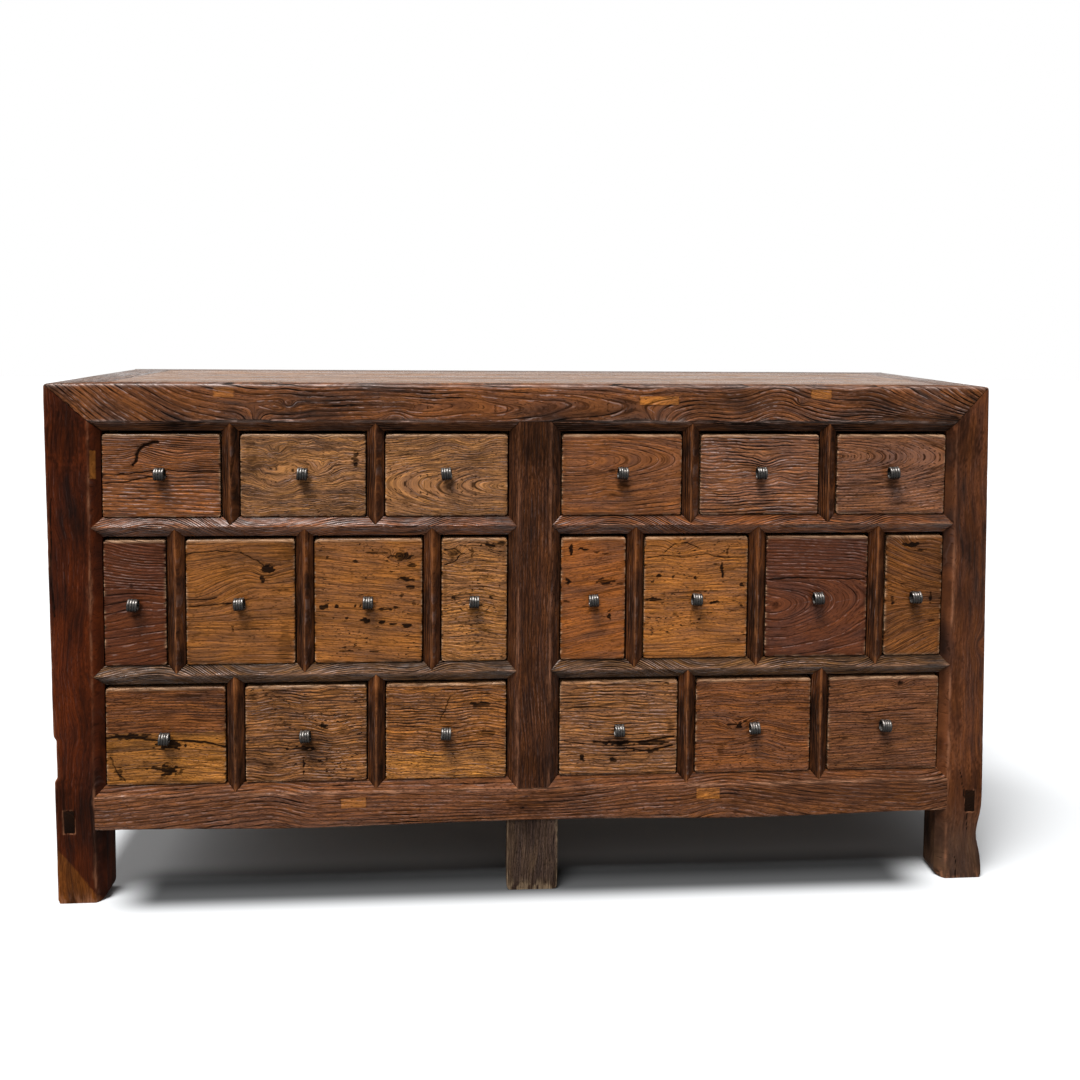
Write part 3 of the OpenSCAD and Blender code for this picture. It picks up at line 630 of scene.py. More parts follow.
def elm_group():
    """Old waxed elm: colour, roughness and height from a board's grain and age, with painted
    highlights and painted shade on the grain.
    """
    numbers = {
        "Rings": 0.7, "Groove": 1.0, "Shine": 0.6, "Fine": 3.5, "Hair": 1.0, "Pores": 0.6,
        "Pits": 0.2, "Mottle": 0.5, "Gloss": 0.5, "Seed": 0.0,
    }
    inputs = [(name, "Vector", None) for name in ("Grain", "Fall", "Age")]
    inputs += [(name, "Color", None) for name in ("Wood", "Grime and shade", "Worn", "Patch", "Catch")]
    inputs += [(name, "Float", value) for name, value in numbers.items()]
    outputs = [(name, "Float", None) for name in ("Roughness", "Wax", "Height")]
    tree, given, out = new_group("Old elm", inputs, [("Color", "Color", None), *outputs])
    s = Sheet(tree)
    along, ring, across = s.xyz(given["Grain"])
    lift, steep, _ = s.xyz(given["Fall"])
    stain_and_shade, wear, patch = s.xyz(given["Age"])
    seed, fine, mottle = given["Seed"], given["Fine"], given["Mottle"]

    def streaks(per_metre, per_ring, detail=2.0, rough=0.5, push=0.0):
        """Noise drawn out along the grain, so that it follows the figure."""
        turn = s.plus(s.times(ring, per_ring), push)
        return s.cloud(s.join(s.times(along, per_metre), turn, seed), detail, rough)

    def clouds(per_metre, across_metre, detail=2.0):
        place = s.join(s.times(along, per_metre), seed, s.times(across, across_metre))
        return s.cloud(place, detail)

    # the dark, worn start of each ring, fainter on a piece let in
    width = s.ramp(streaks(40.0, 1.0), 0.3, 0.7, 0.45, 1.8)
    width = s.times(width, s.times(given["Groove"], s.most(steep, 0.03)))
    off_line = s.math("DIVIDE", s.minus(ring, s.math("ROUND", ring)), width)
    line = s.times(
        s.rest(s.ramp(s.math("ABSOLUTE", off_line), 0.35, 1.0)),
        s.ramp(streaks(14.0, 0.6), 0.32, 0.55, 0.35, 1.0),
        s.ramp(clouds(9.0, 26.0), 0.36, 0.6, 1.15, 0.55),
        s.rest(s.times(s.ramp(patch, 0.05, 0.2), 0.7)),
    )
    # painted highlight on the side of the groove that faces the light
    side = s.times(off_line, s.within(s.times(lift, 3.0), -1.0, 1.0))
    catch = s.times(
        s.ramp(side, -2.7, -1.3), s.ramp(side, -1.15, -0.7, 1.0, 0.0),
        s.ramp(streaks(75.0, 1.9), 0.42, 0.58), s.ramp(clouds(15.0, 42.0), 0.38, 0.6, 0.15, 1.2),
    )
    # fibres, thin dark streaks and short pores; edge is a painted emboss of the fibres, lighter on
    # the side that faces the light and darker on the other
    fibre = streaks(32.0, fine, 4.0, 0.62)
    beside = streaks(32.0, fine, 4.0, 0.62, s.times(fine, steep, 0.9))
    edge = s.times(s.minus(fibre, beside), lift)
    streak = s.ramp(streaks(20.0, s.times(fine, 1.6), 3.0, 0.6), 0.5, 0.66)
    pore = s.ramp(streaks(170.0, s.times(fine, 3.0)), 0.55, 0.68)
    pore = s.times(s.most(pore, s.times(streak, 0.9)), given["Pores"])
    # pits, in groups
    pit = s.times(
        s.ramp(clouds(110.0, 300.0), 0.6, 0.66), s.ramp(clouds(20.0, 28.0, 1.0), 0.42, 0.6),
    )
    pit = s.times(pit, given["Pits"])
    # slow changes of tone
    turn = s.plus(s.times(ring, 0.4), seed)
    slow = s.cloud(s.join(s.times(along, 11.0), turn, s.times(across, 17.0)), 3.0)
    band = s.ramp(streaks(4.0, 1.3, 1.0), 0.25, 0.75, -0.5, 0.5)
    tone = s.times(s.plus(s.ramp(slow, 0.25, 0.75, -0.9, 0.9), band), mottle)
    broad = s.ramp(clouds(7.0, 16.0, 3.0), 0.32, 0.68, -0.7, 0.5)
    tone = s.plus(tone, s.times(broad, mottle))
    dim = s.most(s.plus(1.0, s.times(tone, 0.36)), 0.2)
    hair = s.times(given["Hair"], 0.46)
    less, more = s.rest(hair), s.plus(1.0, s.times(hair, 0.8))
    # painted light and shade on the fibres, from edge
    dim = s.times(dim, s.ramp(fibre, 0.3, 0.7, less, more), s.ramp(edge, -0.22, 0.22, less, more))
    red = s.times(dim, s.ramp(fibre, 0.3, 0.7, 1.05, 0.98))
    blue = s.times(dim, s.ramp(slow, 0.3, 0.7, 1.12, 0.88))
    tint = s.join(red, dim, blue)
    wood = s.mix(1.0, given["Wood"], tint, "MULTIPLY")
    let_in = s.mix(1.0, given["Patch"], tint, "MULTIPLY")
    wood = s.mix(s.within(patch, 0.0, 1.0), wood, let_in)
    # dirt in the rings, the pores, the pits and the stains, and the painted shade carried with the
    # stains
    torn = s.ramp(fibre, 0.25, 0.7, 1.2, 0.7)
    dark = s.most(s.times(line, given["Rings"]), pore, pit, s.times(stain_and_shade, torn))
    dark = s.least(dark, 0.97)
    # painted highlight on the edges of the grain and of the fibres
    catch = s.most(catch, s.ramp(edge, 0.1, 0.3, 0.0, 0.7))
    catch = s.times(catch, given["Shine"], s.rest(s.times(stain_and_shade, 0.8)))
    catch = s.within(catch, 0.0, 0.9)
    colour = s.mix(dark, s.mix(catch, wood, given["Catch"]), given["Grime and shade"])
    # worn arrises, and the painted highlights on the drawer rims and the top rail's top arris,
    # which take the same colour
    pale_mark = s.times(wear, s.ramp(fibre, 0.35, 0.7, 0.3, 1.2), 0.85, s.rest(s.times(dark, 0.7)))
    colour = s.mix(s.least(s.most(pale_mark, 0.0), 0.8), colour, given["Worn"])
    rough = s.plus(0.55, s.times(dark, 0.3))
    wax = s.times(s.rest(dark), s.ramp(slow, 0.3, 0.7, 1.15, 0.85))
    wax = s.within(s.times(wax, wax, given["Gloss"]), 0.0, 1.0)
    height = s.minus(s.times(fibre, 0.7), s.times(line, given["Rings"]))
    height = s.minus(s.minus(height, s.times(pore, 0.35)), s.times(pit, 0.8))
    for label, value in (("Color", colour), ("Roughness", rough), ("Wax", wax), ("Height", height)):
        tree.links.new(value, out[label])
    return tree


def metal_group():
    """Forged iron: colour, roughness and height with hammer marks and a little rust, and painted
    light: paler on upward faces, darker on downward ones.
    """
    tree, given, out = new_group(
        "Forged iron", [("Iron", "Color", None), ("Rust", "Color", None), ("Seed", "Float", 0.0)],
        [("Color", "Color", None), ("Roughness", "Float", None), ("Height", "Float", None)],
    )
    s = Sheet(tree)
    place = add_node(tree, "ShaderNodeTexCoord").outputs["Object"]
    place = s.vector("ADD", place, s.join(*3 * (given["Seed"],)))

    def clouds(per_metre, detail):
        return s.cloud(s.vector("MULTIPLY", place, (per_metre,) * 3), detail=detail)

    marks = clouds(260.0, 3.0)
    rust = s.ramp(clouds(120.0, 4.0), 0.55, 0.75)
    shade = s.ramp(clouds(900.0, 2.0), 0.3, 0.7, 0.6, 1.35)
    upward = s.xyz(add_node(tree, "ShaderNodeNewGeometry").outputs["Normal"])[2]
    # painted light: upward faces paler, in patches after the hammer marks, and downward faces
    # darker
    pale_mark = s.times(s.ramp(upward, -0.1, 0.9, 0.0, 9.0), s.ramp(marks, 0.4, 0.62, 0.25, 1.0))
    shade = s.times(shade, s.plus(s.ramp(upward, -0.7, 0.0, 0.35, 0.9), pale_mark))
    colour = s.mix(1.0, given["Iron"], s.join(shade, shade, shade), "MULTIPLY")
    colour = s.mix(s.times(rust, 0.45), colour, given["Rust"])
    tree.links.new(colour, out["Color"])
    tree.links.new(s.ramp(marks, 0.3, 0.7, 0.22, 0.5), out["Roughness"])
    tree.links.new(marks, out["Height"])
    return tree


def group_node(tree, name):
    made = tree.nodes.new("ShaderNodeGroup")
    made.node_tree = bpy.data.node_groups[name]
    return made


def new_material(name):
    made = bpy.data.materials.new(name)
    made.use_nodes = True
    made.node_tree.nodes.clear()
    return made, made.node_tree


def shade(tree, group, bump, specular=0.5, metallic=0.0, wax_roughness=0.0):
    """Principled surface fed by a group's colour, roughness, wax and height."""
    dip = add_node(tree, "ShaderNodeBump", Height=group.outputs["Height"], Distance=bump)
    dip.inputs["Strength"].default_value = 1.0
    surface = add_node(
        tree, "ShaderNodeBsdfPrincipled", Base_Color=group.outputs["Color"],
        Roughness=group.outputs["Roughness"], Normal=dip.outputs[0], Metallic=metallic,
    )
    surface.inputs["Specular IOR Level"].default_value = specular
    if wax_roughness:
        tree.links.new(group.outputs["Wax"], surface.inputs["Coat Weight"])
        surface.inputs["Coat Roughness"].default_value = wax_roughness
    end = tree.nodes.new("ShaderNodeOutputMaterial")
    tree.links.new(surface.outputs[0], end.inputs["Surface"])


def elm(
    name, tone, seed, rings=0.8, groove=1.0, shine=0.6, fine=3.5, hair=1.0, pores=0.6, pits=0.2,
    mottle=0.6, gloss=0.4, light=1.0, plain=0.0, worn="worn", patch="patch",
):
    """A material of old elm. plain is the ring width of boards whose rings the shader works out."""
    tones = bpy.context.scene.chest_tones
    made, tree = new_material(name)
    group = group_node(tree, "Old elm")
    values = {
        "Wood": getattr(tones, tone), "Grime and shade": tones.grime, "Worn": getattr(tones, worn),
        "Patch": getattr(tones, patch), "Catch": tones.catch,
    }
    for label, colour in values.items():
        lit = light if label == "Wood" else 1.0
        group.inputs[label].default_value = (*(lit * c for c in rgb(colour)), 1)
    numbers = {
        "Rings": rings, "Groove": groove, "Shine": shine, "Fine": fine, "Hair": hair,
        "Pores": pores, "Pits": pits, "Mottle": mottle, "Gloss": gloss,
    }
    for label, value in {**numbers, "Seed": seed * 3.7}.items():
        group.inputs[label].default_value = value
    s = Sheet(tree)
    if plain:
        rings_node = group_node(tree, "Board grain")
        rings_node.inputs["Ring width"].default_value = plain
        tree.links.new(rings_node.outputs[0], group.inputs["Grain"])
        group.inputs["Fall"].default_value = (1.0, MM / plain, 0.0)
    else:
        tree.links.new(s.held("grain"), group.inputs["Grain"])
        tree.links.new(s.held("fall"), group.inputs["Fall"])
    tree.links.new(s.held("age"), group.inputs["Age"])
    wood = bpy.context.scene.chest_wood
    shade(tree, group, wood.bump, specular=wood.sheen, wax_roughness=wood.wax_roughness)
    return made


# Front lattice


def plane_bevel(obj, half, side, sizes):
    """Planes the front bevel at one side of a board that lies along X."""
    rise = sizes.bevel_depth / sizes.bevel_width
    saw(obj, (0, sizes.bevel_depth, side * half), (0, -1, side * rise))


def visible(f):
    return f.normal.y < -0.3


def long_edges(*places):
    """Picks the edges along X that pass near the given places, each (across, into)."""

    def wanted(e):
        middle = (e.verts[0].co + e.verts[1].co) / 2
        return runs_along(e, X) and any(
            abs(middle.z - c) < 2e-4 and abs(middle.y - d) < 2e-4 for c, d in places
        )

    return wanted


def bar(
    name, length, breadth, deep, figure, easing=0.0, steady=0.0, worn=0.0, depth=0.45, chips=0.6,
    **marks,
):
    """A bevelled bar along X from 0, with mitred tips and no tenons, carved with its grain."""
    sizes = bpy.context.scene.chest_sizes
    half = breadth / 2
    reach = min(half, sizes.bevel_width)
    obj = blank(name, (-reach, 0, -half), (length + reach, deep, half))
    for side in (-1, 1):
        plane_bevel(obj, half, side, sizes)
    flat, front = half - reach, sizes.bevel_depth - sizes.bevel_depth / sizes.bevel_width * reach
    corners = [(-flat, front), (flat, front)] if flat > 1e-4 else [(0.0, front)]
    ease(obj, easing or sizes.easing, long_edges(*corners))
    for side in (-1, 1):
        for x, way in ((0.0, -1), (length, 1)):
            saw(obj, (x, 0, side * half), (way, 0, side))
    cut_strips(obj, sizes.pitch, visible)
    cut_lengths(obj, sizes.pitch)
    wide = 650 * easing if easing else 2.2
    arrises = [(c / MM, d / MM + 0.4, wide, steady) for c, d in corners]
    joints = ((0.0, -1, 500 * breadth), (length / MM, 1, 500 * breadth))
    weather(
        obj, figure, depth=depth, arrises=arrises, chips=chips, worn=worn, joints=joints, **marks,
    )
    smooth(obj)
    return obj


# Figures of the drawer fronts, in millimetres from each front's middle


def tips(a, c, reach, ring, crowd=None):
    """Nested arcs round a point at the left, whose tips point to the right. Above crowd, if it is
    given, their lines lie closer."""

    def field(along, across):
        rings = np.hypot(across - c, reach * (along - a)) / ring
        if crowd:
            rings = rings + np.clip(across - crowd[0], 0, None) / crowd[1]
        return rings

    return field


def fan(c, tilt, ring, above=None):
    """Lines that fall to the right above a level and rise below it."""

    def field(along, across):
        level = across + tilt * np.tanh((across - c) / 40) * along
        rings = level / ring
        if above:
            rings = rings + np.clip(level - above[0], 0, None) / above[1]
        return rings

    return field


def sweep(rise, low, high, c, reach, ring):
    """Lines that climb to the right between two places, most of all near a level."""

    def field(along, across):
        return (across - rise * step_up(along, low, high) * bell(across - c, reach)) / ring

    return field


# A crack has its width, its depth and its line; a blot has its place, its half sizes and its
# strength; plank is where a front is a smoother, paler piece: a * along + c * across + level > 0.

DRAWERS = {
    "top_1": dict(
        tone="red_brown", light=1.05, depth=1.0, groove=1.0, shine=0.6, gloss=0.55,
        figure=dict(
            ring=7.2, field=fan(-300, 0.04, 7.4, (6, 6.5)), wander=5, long=80, swirl=4.5,
            swirl_size=20, calm=(0, 26), knots=((24, 26, 22, 2.2), (-40, 36, 12, -2.0)), seed=11,
        ),
        cracks=(
            (3.2, 2.2, [(-46, 19), (-42, 31), (-38, 43), (-28, 52), (-16, 56), (-6, 57)]),
            (1.0, 0.8, [(-101, 2), (-60, 3), (-20, 8), (20, 9), (55, 6), (101, 6)]),
            (1.1, 0.8, [(-101, -14), (-60, -10), (-20, -2), (10, -1)]),
        ),
        blots=((-50, 12, 26, 5, 0.4), (-30, 44, 12, 8, 0.3)),
    ),
    "top_2": dict(
        tone="tan", depth=0.35, rings=0.55, groove=0.5, shine=0.5, pores=0.8, mottle=1.0,
        figure=dict(
            ring=3.4, pith=(-190, 30), wander=4, long=80, swirl=2.5, swirl_size=18,
            knots=((26, 2, 19, 5.6), (-44, -12, 23, 6.0), (-50, 42, 10, 3.4)), seed=12,
        ),
        blots=(
            (88, 30, 5, 16, 0.85), (-84, 20, 16, 18, 0.5), (82, -56, 10, 5, 0.6),
            (46, 48, 8, 5, 0.4), (6, -22, 8, 9, 0.35), (-90, 52, 10, 10, 0.4),
        ),
    ),
    "top_3": dict(
        tone="tan", light=1.08, depth=0.25, rings=0.55, groove=0.55, shine=0.4, pores=0.85,
        mottle=0.9,
        figure=dict(ring=3.6, field=tips(112, -18, 0.2, 3.8), wander=9, long=45, seed=13),
        blots=((54, 30, 18, 8, 0.4), (60, 18, 20, 5, 0.3), (-66, -46, 16, 6, 0.35)),
    ),
    "top_4": dict(
        tone="orange_brown", light=1.08, depth=0.45, rings=0.8, groove=0.8, shine=0.25, hair=0.7,
        pores=0.6, mottle=0.7,
        figure=dict(
            ring=6.0, field=tips(-84, 24, 0.2, 7.0), wander=9, long=70,
            knots=((-30, -28, 16, 0.8),), seed=14,
        ),
        blots=(
            (-42, 4, 20, 5, 0.4), (-18, 8, 6, 4, 0.6), (-14, -34, 5, 3, 0.55), (40, -52, 4, 3, 0.5),
        ),
    ),
    "top_5": dict(
        tone="mid_brown", light=1.22, depth=0.95, rings=0.9, groove=1.05, shine=0.75, gloss=0.6,
        figure=dict(
            ring=5.6, pith=(-210, 30), wander=4, long=70, ripple=1.3,
            knots=((12, 20, 14, 2.2), (34, -6, 12, -1.2)), seed=15,
        ),
    ),
    "top_6": dict(
        tone="mid_brown", light=1.14, depth=0.45, rings=0.75, groove=0.7, shine=0.3, hair=0.8,
        pores=0.8, gloss=0.6,
        figure=dict(ring=4.6, field=tips(-108, 30, 0.2, 4.8), wander=6, long=90, seed=16),
        blots=((4, -22, 24, 4, 0.55), (20, -52, 20, 3, 0.5), (-70, -20, 20, 8, 0.3)),
    ),
    "middle_1": dict(
        tone="dark_red", light=1.06, depth=0.8, rings=0.75, groove=1.1, shine=0.35, hair=0.6,
        pores=0.4, mottle=0.5, gloss=0.15,
        figure=dict(ring=9.0, field=fan(10, 0.17, 13, (22, 9.0)), wander=7, long=60, seed=21),
        blots=((-6, 28, 4, 4, 0.6), (44, 92, 14, 8, 0.3)),
    ),
    "middle_2": dict(
        tone="golden", light=0.92, depth=0.45, rings=0.75, groove=0.75, shine=0.1, hair=0.5,
        pores=0.6, pits=0.5, mottle=0.9, gloss=0.3,
        figure=dict(
            ring=8.0, field=sweep(34, -95, 30, 38, 52, 8.5), wander=7, long=60,
            knots=((42, 50, 13, 1.6),), seed=22,
        ),
        cracks=(
            (1.0, 0.7, [(-90, 84), (-40, 90), (0, 86), (28, 72), (42, 60)]),
            (0.9, 0.6, [(-90, 6), (-52, 5), (-40, 8)]),
            (1.0, 0.8, [(-86, -8), (-50, -4), (-12, -2)]),
        ),
        blots=(
            (47, 58, 10, 7, 1.0), (38, 40, 5, 5, 0.95), (-26, 62, 7, 3, 0.6),
            (80, 88, 22, 20, 0.45), (-20, -4, 26, 2, 0.5), (10, -46, 18, 1.5, 0.7),
            (76, -70, 12, 44, 0.4), (-14, -46, 2, 5, 0.7), (70, 20, 16, 2, 0.6),
            (-72, -56, 14, 1.5, 0.6),
        ),
    ),
    "middle_3": dict(
        tone="golden", light=1.08, depth=0.4, rings=0.5, groove=0.6, shine=0.1, hair=0.45,
        pores=0.7, pits=0.9, mottle=0.8,
        figure=dict(
            ring=8.5, field=fan(120, -0.09, 8.5), wander=5, long=110, knots=((52, 74, 11, 2.2),),
            seed=23,
        ),
        blots=(
            (56, 76, 18, 7, 0.95), (74, 62, 8, 5, 0.8), (-22, 69, 6, 3, 1.0), (-70, 76, 3, 3, 0.8),
            (10, 84, 24, 1.5, 0.8), (66, 37, 12, 4, 0.95), (72, 24, 7, 3, 0.85),
            (56, 10, 4, 4, 0.75), (77, -6, 4, 4, 0.8), (-77, -9, 8, 5, 1.1), (-55, -9, 4, 3, 1.0),
            (-24, -9, 3, 4, 1.0), (29, -15, 10, 2.5, 1.1), (-5, -34, 8, 4, 1.1),
            (23, -38, 4, 3, 1.1), (40, -41, 8, 2.5, 1.1), (66, -44, 8, 3.5, 1.1),
            (-14, -9, 2, 3, 1.0), (4, -12, 3, 2, 1.0), (48, -12, 5, 2, 1.0), (-60, -30, 3, 2, 0.9),
            (-36, -30, 3, 2, 0.9), (-37, -88, 18, 1.5, 0.9), (10, -89, 12, 1.5, 0.9),
            (-30, 50, 2, 9, 0.4),
        ),
    ),
    "middle_4": dict(
        tone="tan_gold", light=1.1, depth=0.55, rings=0.6, groove=0.65, shine=0.35, hair=0.7,
        pores=0.9, pits=0.9, mottle=0.8,
        figure=dict(
            ring=6.5, pith=(-190, 30), wander=6, long=60, ripple=0.9, knots=((-36, 80, 13, 2.4),),
            seed=24,
        ),
        cracks=((1.0, 0.7, [(-54, 88), (-36, 90), (-22, 80), (-34, 68), (-50, 62)]),),
        blots=(
            (-38, 82, 9, 9, 0.6), (24, 96, 12, 4, 0.85), (48, 98, 8, 5, 0.85), (-4, 84, 3, 8, 0.7),
            (12, 52, 16, 2, 0.7), (46, -20, 6, 22, 0.35), (-34, 4, 5, 5, 0.8), (30, 4, 4, 3, 0.8),
            (-50, 20, 3, 30, 0.4),
        ),
    ),
    "middle_5": dict(
        tone="honey", depth=0.3, rings=0.4, groove=0.6, shine=0.08, hair=0.45, pores=0.6, pits=0.5,
        mottle=1.0, figure=dict(ring=9, field=fan(-400, -0.14, 9), wander=8, long=60, seed=25),
        blots=(
            (-39, 89, 4, 9, 1.1), (-20, 88, 9, 3, 0.9), (2, 82, 9, 2, 0.8), (20, 80, 6, 2, 0.7),
            (21, 31, 14, 6, 0.75), (-45, 32, 4, 7, 1.0), (29, -30, 4, 8, 1.0),
            (-15, -15, 14, 2, 0.6), (-46, -4, 6, 2, 0.7), (46, 26, 8, 2, 0.6),
        ),
    ),
    "middle_6": dict(
        tone="golden", light=1.14, depth=0.45, rings=0.55, groove=0.6, shine=0.12, hair=0.5,
        pores=0.7, pits=0.9, mottle=0.9,
        figure=dict(
            ring=6.5, pith=(-190, 40), wander=6, long=70, ripple=0.7, knots=((-30, 90, 15, 2.6),),
            seed=26,
        ),
        cracks=(
            (0.9, 0.7, [(-86, 71), (-61, 76), (-27, 73), (16, 78), (50, 71), (86, 71)]),
            (0.9, 0.6, [(-57, 82), (-40, 96), (-18, 98), (8, 88)]),
        ),
        blots=(
            (47, 48, 3, 13, 1.0), (38, 60, 6, 2, 0.8), (-66, 40, 5, 3, 1.0), (0, 36, 3, 3, 0.9),
            (-40, 38, 3, 3, 0.8), (56, 84, 2, 12, 0.7), (82, 22, 5, 4, 0.9), (-75, -2, 16, 3, 1.0),
            (36, -9, 14, 2.5, 1.0), (-36, -28, 6, 3, 0.6), (82, -14, 4, 3, 0.9),
            (10, 12, 22, 1.5, 0.7), (-8, -36, 1.5, 14, 0.4),
        ),
    ),
    "middle_7": dict(
        tone="dark_red", light=1.12, depth=0.9, rings=0.75, groove=0.95, shine=0.3, hair=0.6,
        pores=0.6, mottle=0.5, gloss=0.3,
        figure=dict(
            ring=14, field=tips(-92, -13, 0.34, 15.5, (26, 9.5)), wander=9, long=60,
            knots=((80, -40, 30, 0.4),), seed=27,
        ),
        cracks=((1.2, 0.9, [(-86, 31), (-40, 34), (20, 32), (86, 30)]),),
        blots=((-74, -14, 8, 7, 0.5),),
    ),
    "middle_8": dict(
        tone="umber", light=1.14, depth=0.4, rings=0.6, groove=0.7, shine=0.15, hair=0.6, pores=0.7,
        pits=0.6, mottle=0.9, gloss=0.2,
        figure=dict(
            ring=8.0, field=fan(-6, 0.42, 8.0), wander=9, long=60, knots=((0, 96, 15, 2.2),),
            seed=28,
        ),
        blots=(
            (-3, 92, 16, 4, 1.0), (12, 82, 10, 3, 0.8), (31, -4, 2.5, 10, 0.9),
            (-38, -8, 3, 10, 0.7), (-16, 22, 12, 2, 0.7), (34, -46, 9, 3, 0.6),
        ),
    ),
    "bottom_1": dict(
        tone="orange_brown", light=0.96, depth=0.4, rings=0.55, groove=0.6, shine=0.2, hair=0.7,
        pores=0.8, pits=0.5, mottle=1.0, gloss=0.2, plank=(0, -1, 6, 1.0, 0.6),
        figure=dict(ring=5.4, pith=(-220, 50), wander=4, long=120, ripple=0.7, seed=31),
        cracks=(
            (2.0, 1.4, [(-102, -2), (-70, 0), (-30, -5), (0, -8), (22, -8), (66, -12), (102, -22)]),
            (1.0, 0.6, [(-92, -34), (-86, -60), (-70, -78)]),
        ),
        blots=(
            (-60, 0, 34, 5, 1.0), (4, -16, 22, 8, 1.0), (5, -61, 14, 12, 0.9),
            (-80, -64, 8, 10, 0.8), (-92, -30, 4, 24, 0.4), (-20, -56, 10, 3, 0.7),
            (24, -62, 5, 8, 0.7), (-34, -58, 4, 3, 0.8),
        ),
    ),
    "bottom_2": dict(
        tone="golden_brown", light=1.04, depth=0.7, rings=0.85, groove=0.9, shine=0.5, pores=0.8,
        pits=0.95, mottle=0.9, gloss=0.3,
        figure=dict(
            ring=5.2, pith=(-170, 40), wander=5, long=50, ripple=1.5, knots=((36, 10, 18, 1.0),),
            seed=32,
        ),
        blots=(
            (-10, -26, 20, 3, 1.1), (-4, -54, 2.4, 15, 1.1), (30, 13, 6, 6, 0.9),
            (60, 4, 9, 6, 0.5), (-64, -56, 16, 5, 0.6), (66, 28, 12, 3, 0.5), (-90, 66, 8, 8, 0.6),
            (-40, 16, 12, 3, 0.7),
        ),
    ),
    "bottom_3": dict(
        tone="golden", light=1.03, depth=0.7, rings=0.95, groove=1.05, shine=0.3, pores=0.9,
        pits=0.7, mottle=0.8, plank=(0, -1, -36, 1.0, 0.6),
        figure=dict(ring=5.4, pith=(-150, 40), wander=5, long=60, ripple=1.5, seed=33),
        cracks=((0.9, 0.5, [(-9, 21), (-2, 40), (8, 62)]),),
        blots=(
            (60, 46, 18, 6, 0.8), (70, -4, 22, 5, 0.7), (-80, -14, 12, 6, 0.5),
            (66, 66, 10, 3, 0.7),
        ),
    ),
    "bottom_4": dict(
        tone="golden_brown", light=1.17, depth=0.9, rings=0.95, groove=0.95, shine=0.45, pores=0.8,
        pits=0.7, gloss=0.5,
        figure=dict(ring=6.2, pith=(-230, 40), wander=3.5, long=90, ripple=1.2, seed=34),
        cracks=(
            (2.2, 1.8, [(-44, -25), (0, -27), (50, -26), (98, -18)]),
            (1.6, 1.4, [(16, -38), (60, -42), (98, -34)]),
            (1.4, 1.2, [(30, 80), (70, 82), (90, 78)]), (1.0, 0.8, [(-96, -22), (-60, -28)]),
            (1.0, 0.8, [(-96, 36), (-60, 40), (-20, 37)]),
        ),
        blots=(
            (0, -27, 30, 4, 1.2), (60, -28, 30, 4, 1.0), (-64, -54, 5, 8, 1.0),
            (-8, -58, 6, 5, 0.9), (92, 0, 6, 14, 0.6), (60, -42, 26, 3, 1.0),
        ),
    ),
    "bottom_5": dict(
        tone="red_brown", depth=0.3, rings=0.6, groove=0.6, shine=0.15, hair=0.7, pores=0.85,
        mottle=0.8,
        figure=dict(
            ring=4.6, pith=(-190, 40), wander=5, long=70,
            knots=((-26, 0, 17, 3.4), (20, -16, 34, -2.6)), seed=35,
        ),
        blots=(
            (-24, 0, 6, 7, 1.1), (-38, 2, 10, 3, 0.9), (-58, -44, 7, 12, 0.5), (-14, 8, 4, 2, 0.9),
            (10, -14, 10, 8, 0.5),
        ),
    ),
    "bottom_6": dict(
        tone="mid_brown", depth=0.35, rings=0.65, groove=0.6, shine=0.15, hair=0.7, pores=0.85,
        mottle=0.6, gloss=0.2,
        figure=dict(
            ring=4.8, pith=(-180, 40), lean=(0.06, 0), wander=5, long=110, ripple=0.6,
            knots=((30, 72, 10, 1.8),), seed=36,
        ),
        cracks=((0.9, 0.5, [(-98, 23), (-40, 20), (0, 22), (60, 26)]),),
        blots=((30, 72, 7, 4, 0.9), (-10, -48, 7, 3, 0.55), (-70, -26, 6, 3, 0.6)),
    ),
}


def amount(label, what, value, **more):
    """A number that a user may change."""
    return FloatProperty(name=label, description=what, default=value, **more)


def size(label, what, value):
    """A length that a user may change."""
    return amount(label, what, value, unit="LENGTH", precision=4)


def angle(label, what, value):
    """An angle that a user may change."""
    return amount(label, what, value, subtype="ANGLE")


def fraction(label, what, value):
    """A share from 0 to 1 that a user may change."""
    return amount(label, what, value, min=0, max=1)


def colour(label, what, value):
    """A colour given by its six digits."""
    parts = [int(value[i : i + 2], 16) / 255 for i in (0, 2, 4)]
    return FloatVectorProperty(
        name=label, description=what, default=parts, subtype="COLOR_GAMMA", size=3, min=0, max=1
    )


class ChestSizes(bpy.types.PropertyGroup):
    """Sizes of the front lattice"""

    bevel_width: size("Bevel width", "Width of the bevel around each opening", 0.017)
    bevel_depth: size("Bevel depth", "Depth to which the bevel falls", 0.011)
    easing: size("Easing", "Wear of the arrises of the lattice", 0.0016)
    pitch: size("Pitch", "Spacing of the points that carry the carved grain", 0.0018)
    foot_radius: size("Foot rounding", "Rounding of a corner foot on its inner side", 0.016)
    top_corner: size("Top corner", "Rounding of the top's outer corners", 0.006)
    corner: size("Corner", "Rounding of a drawer front's corners", 0.006)
    front: size("Front", "Thickness of a drawer front before its joints", 0.0118)


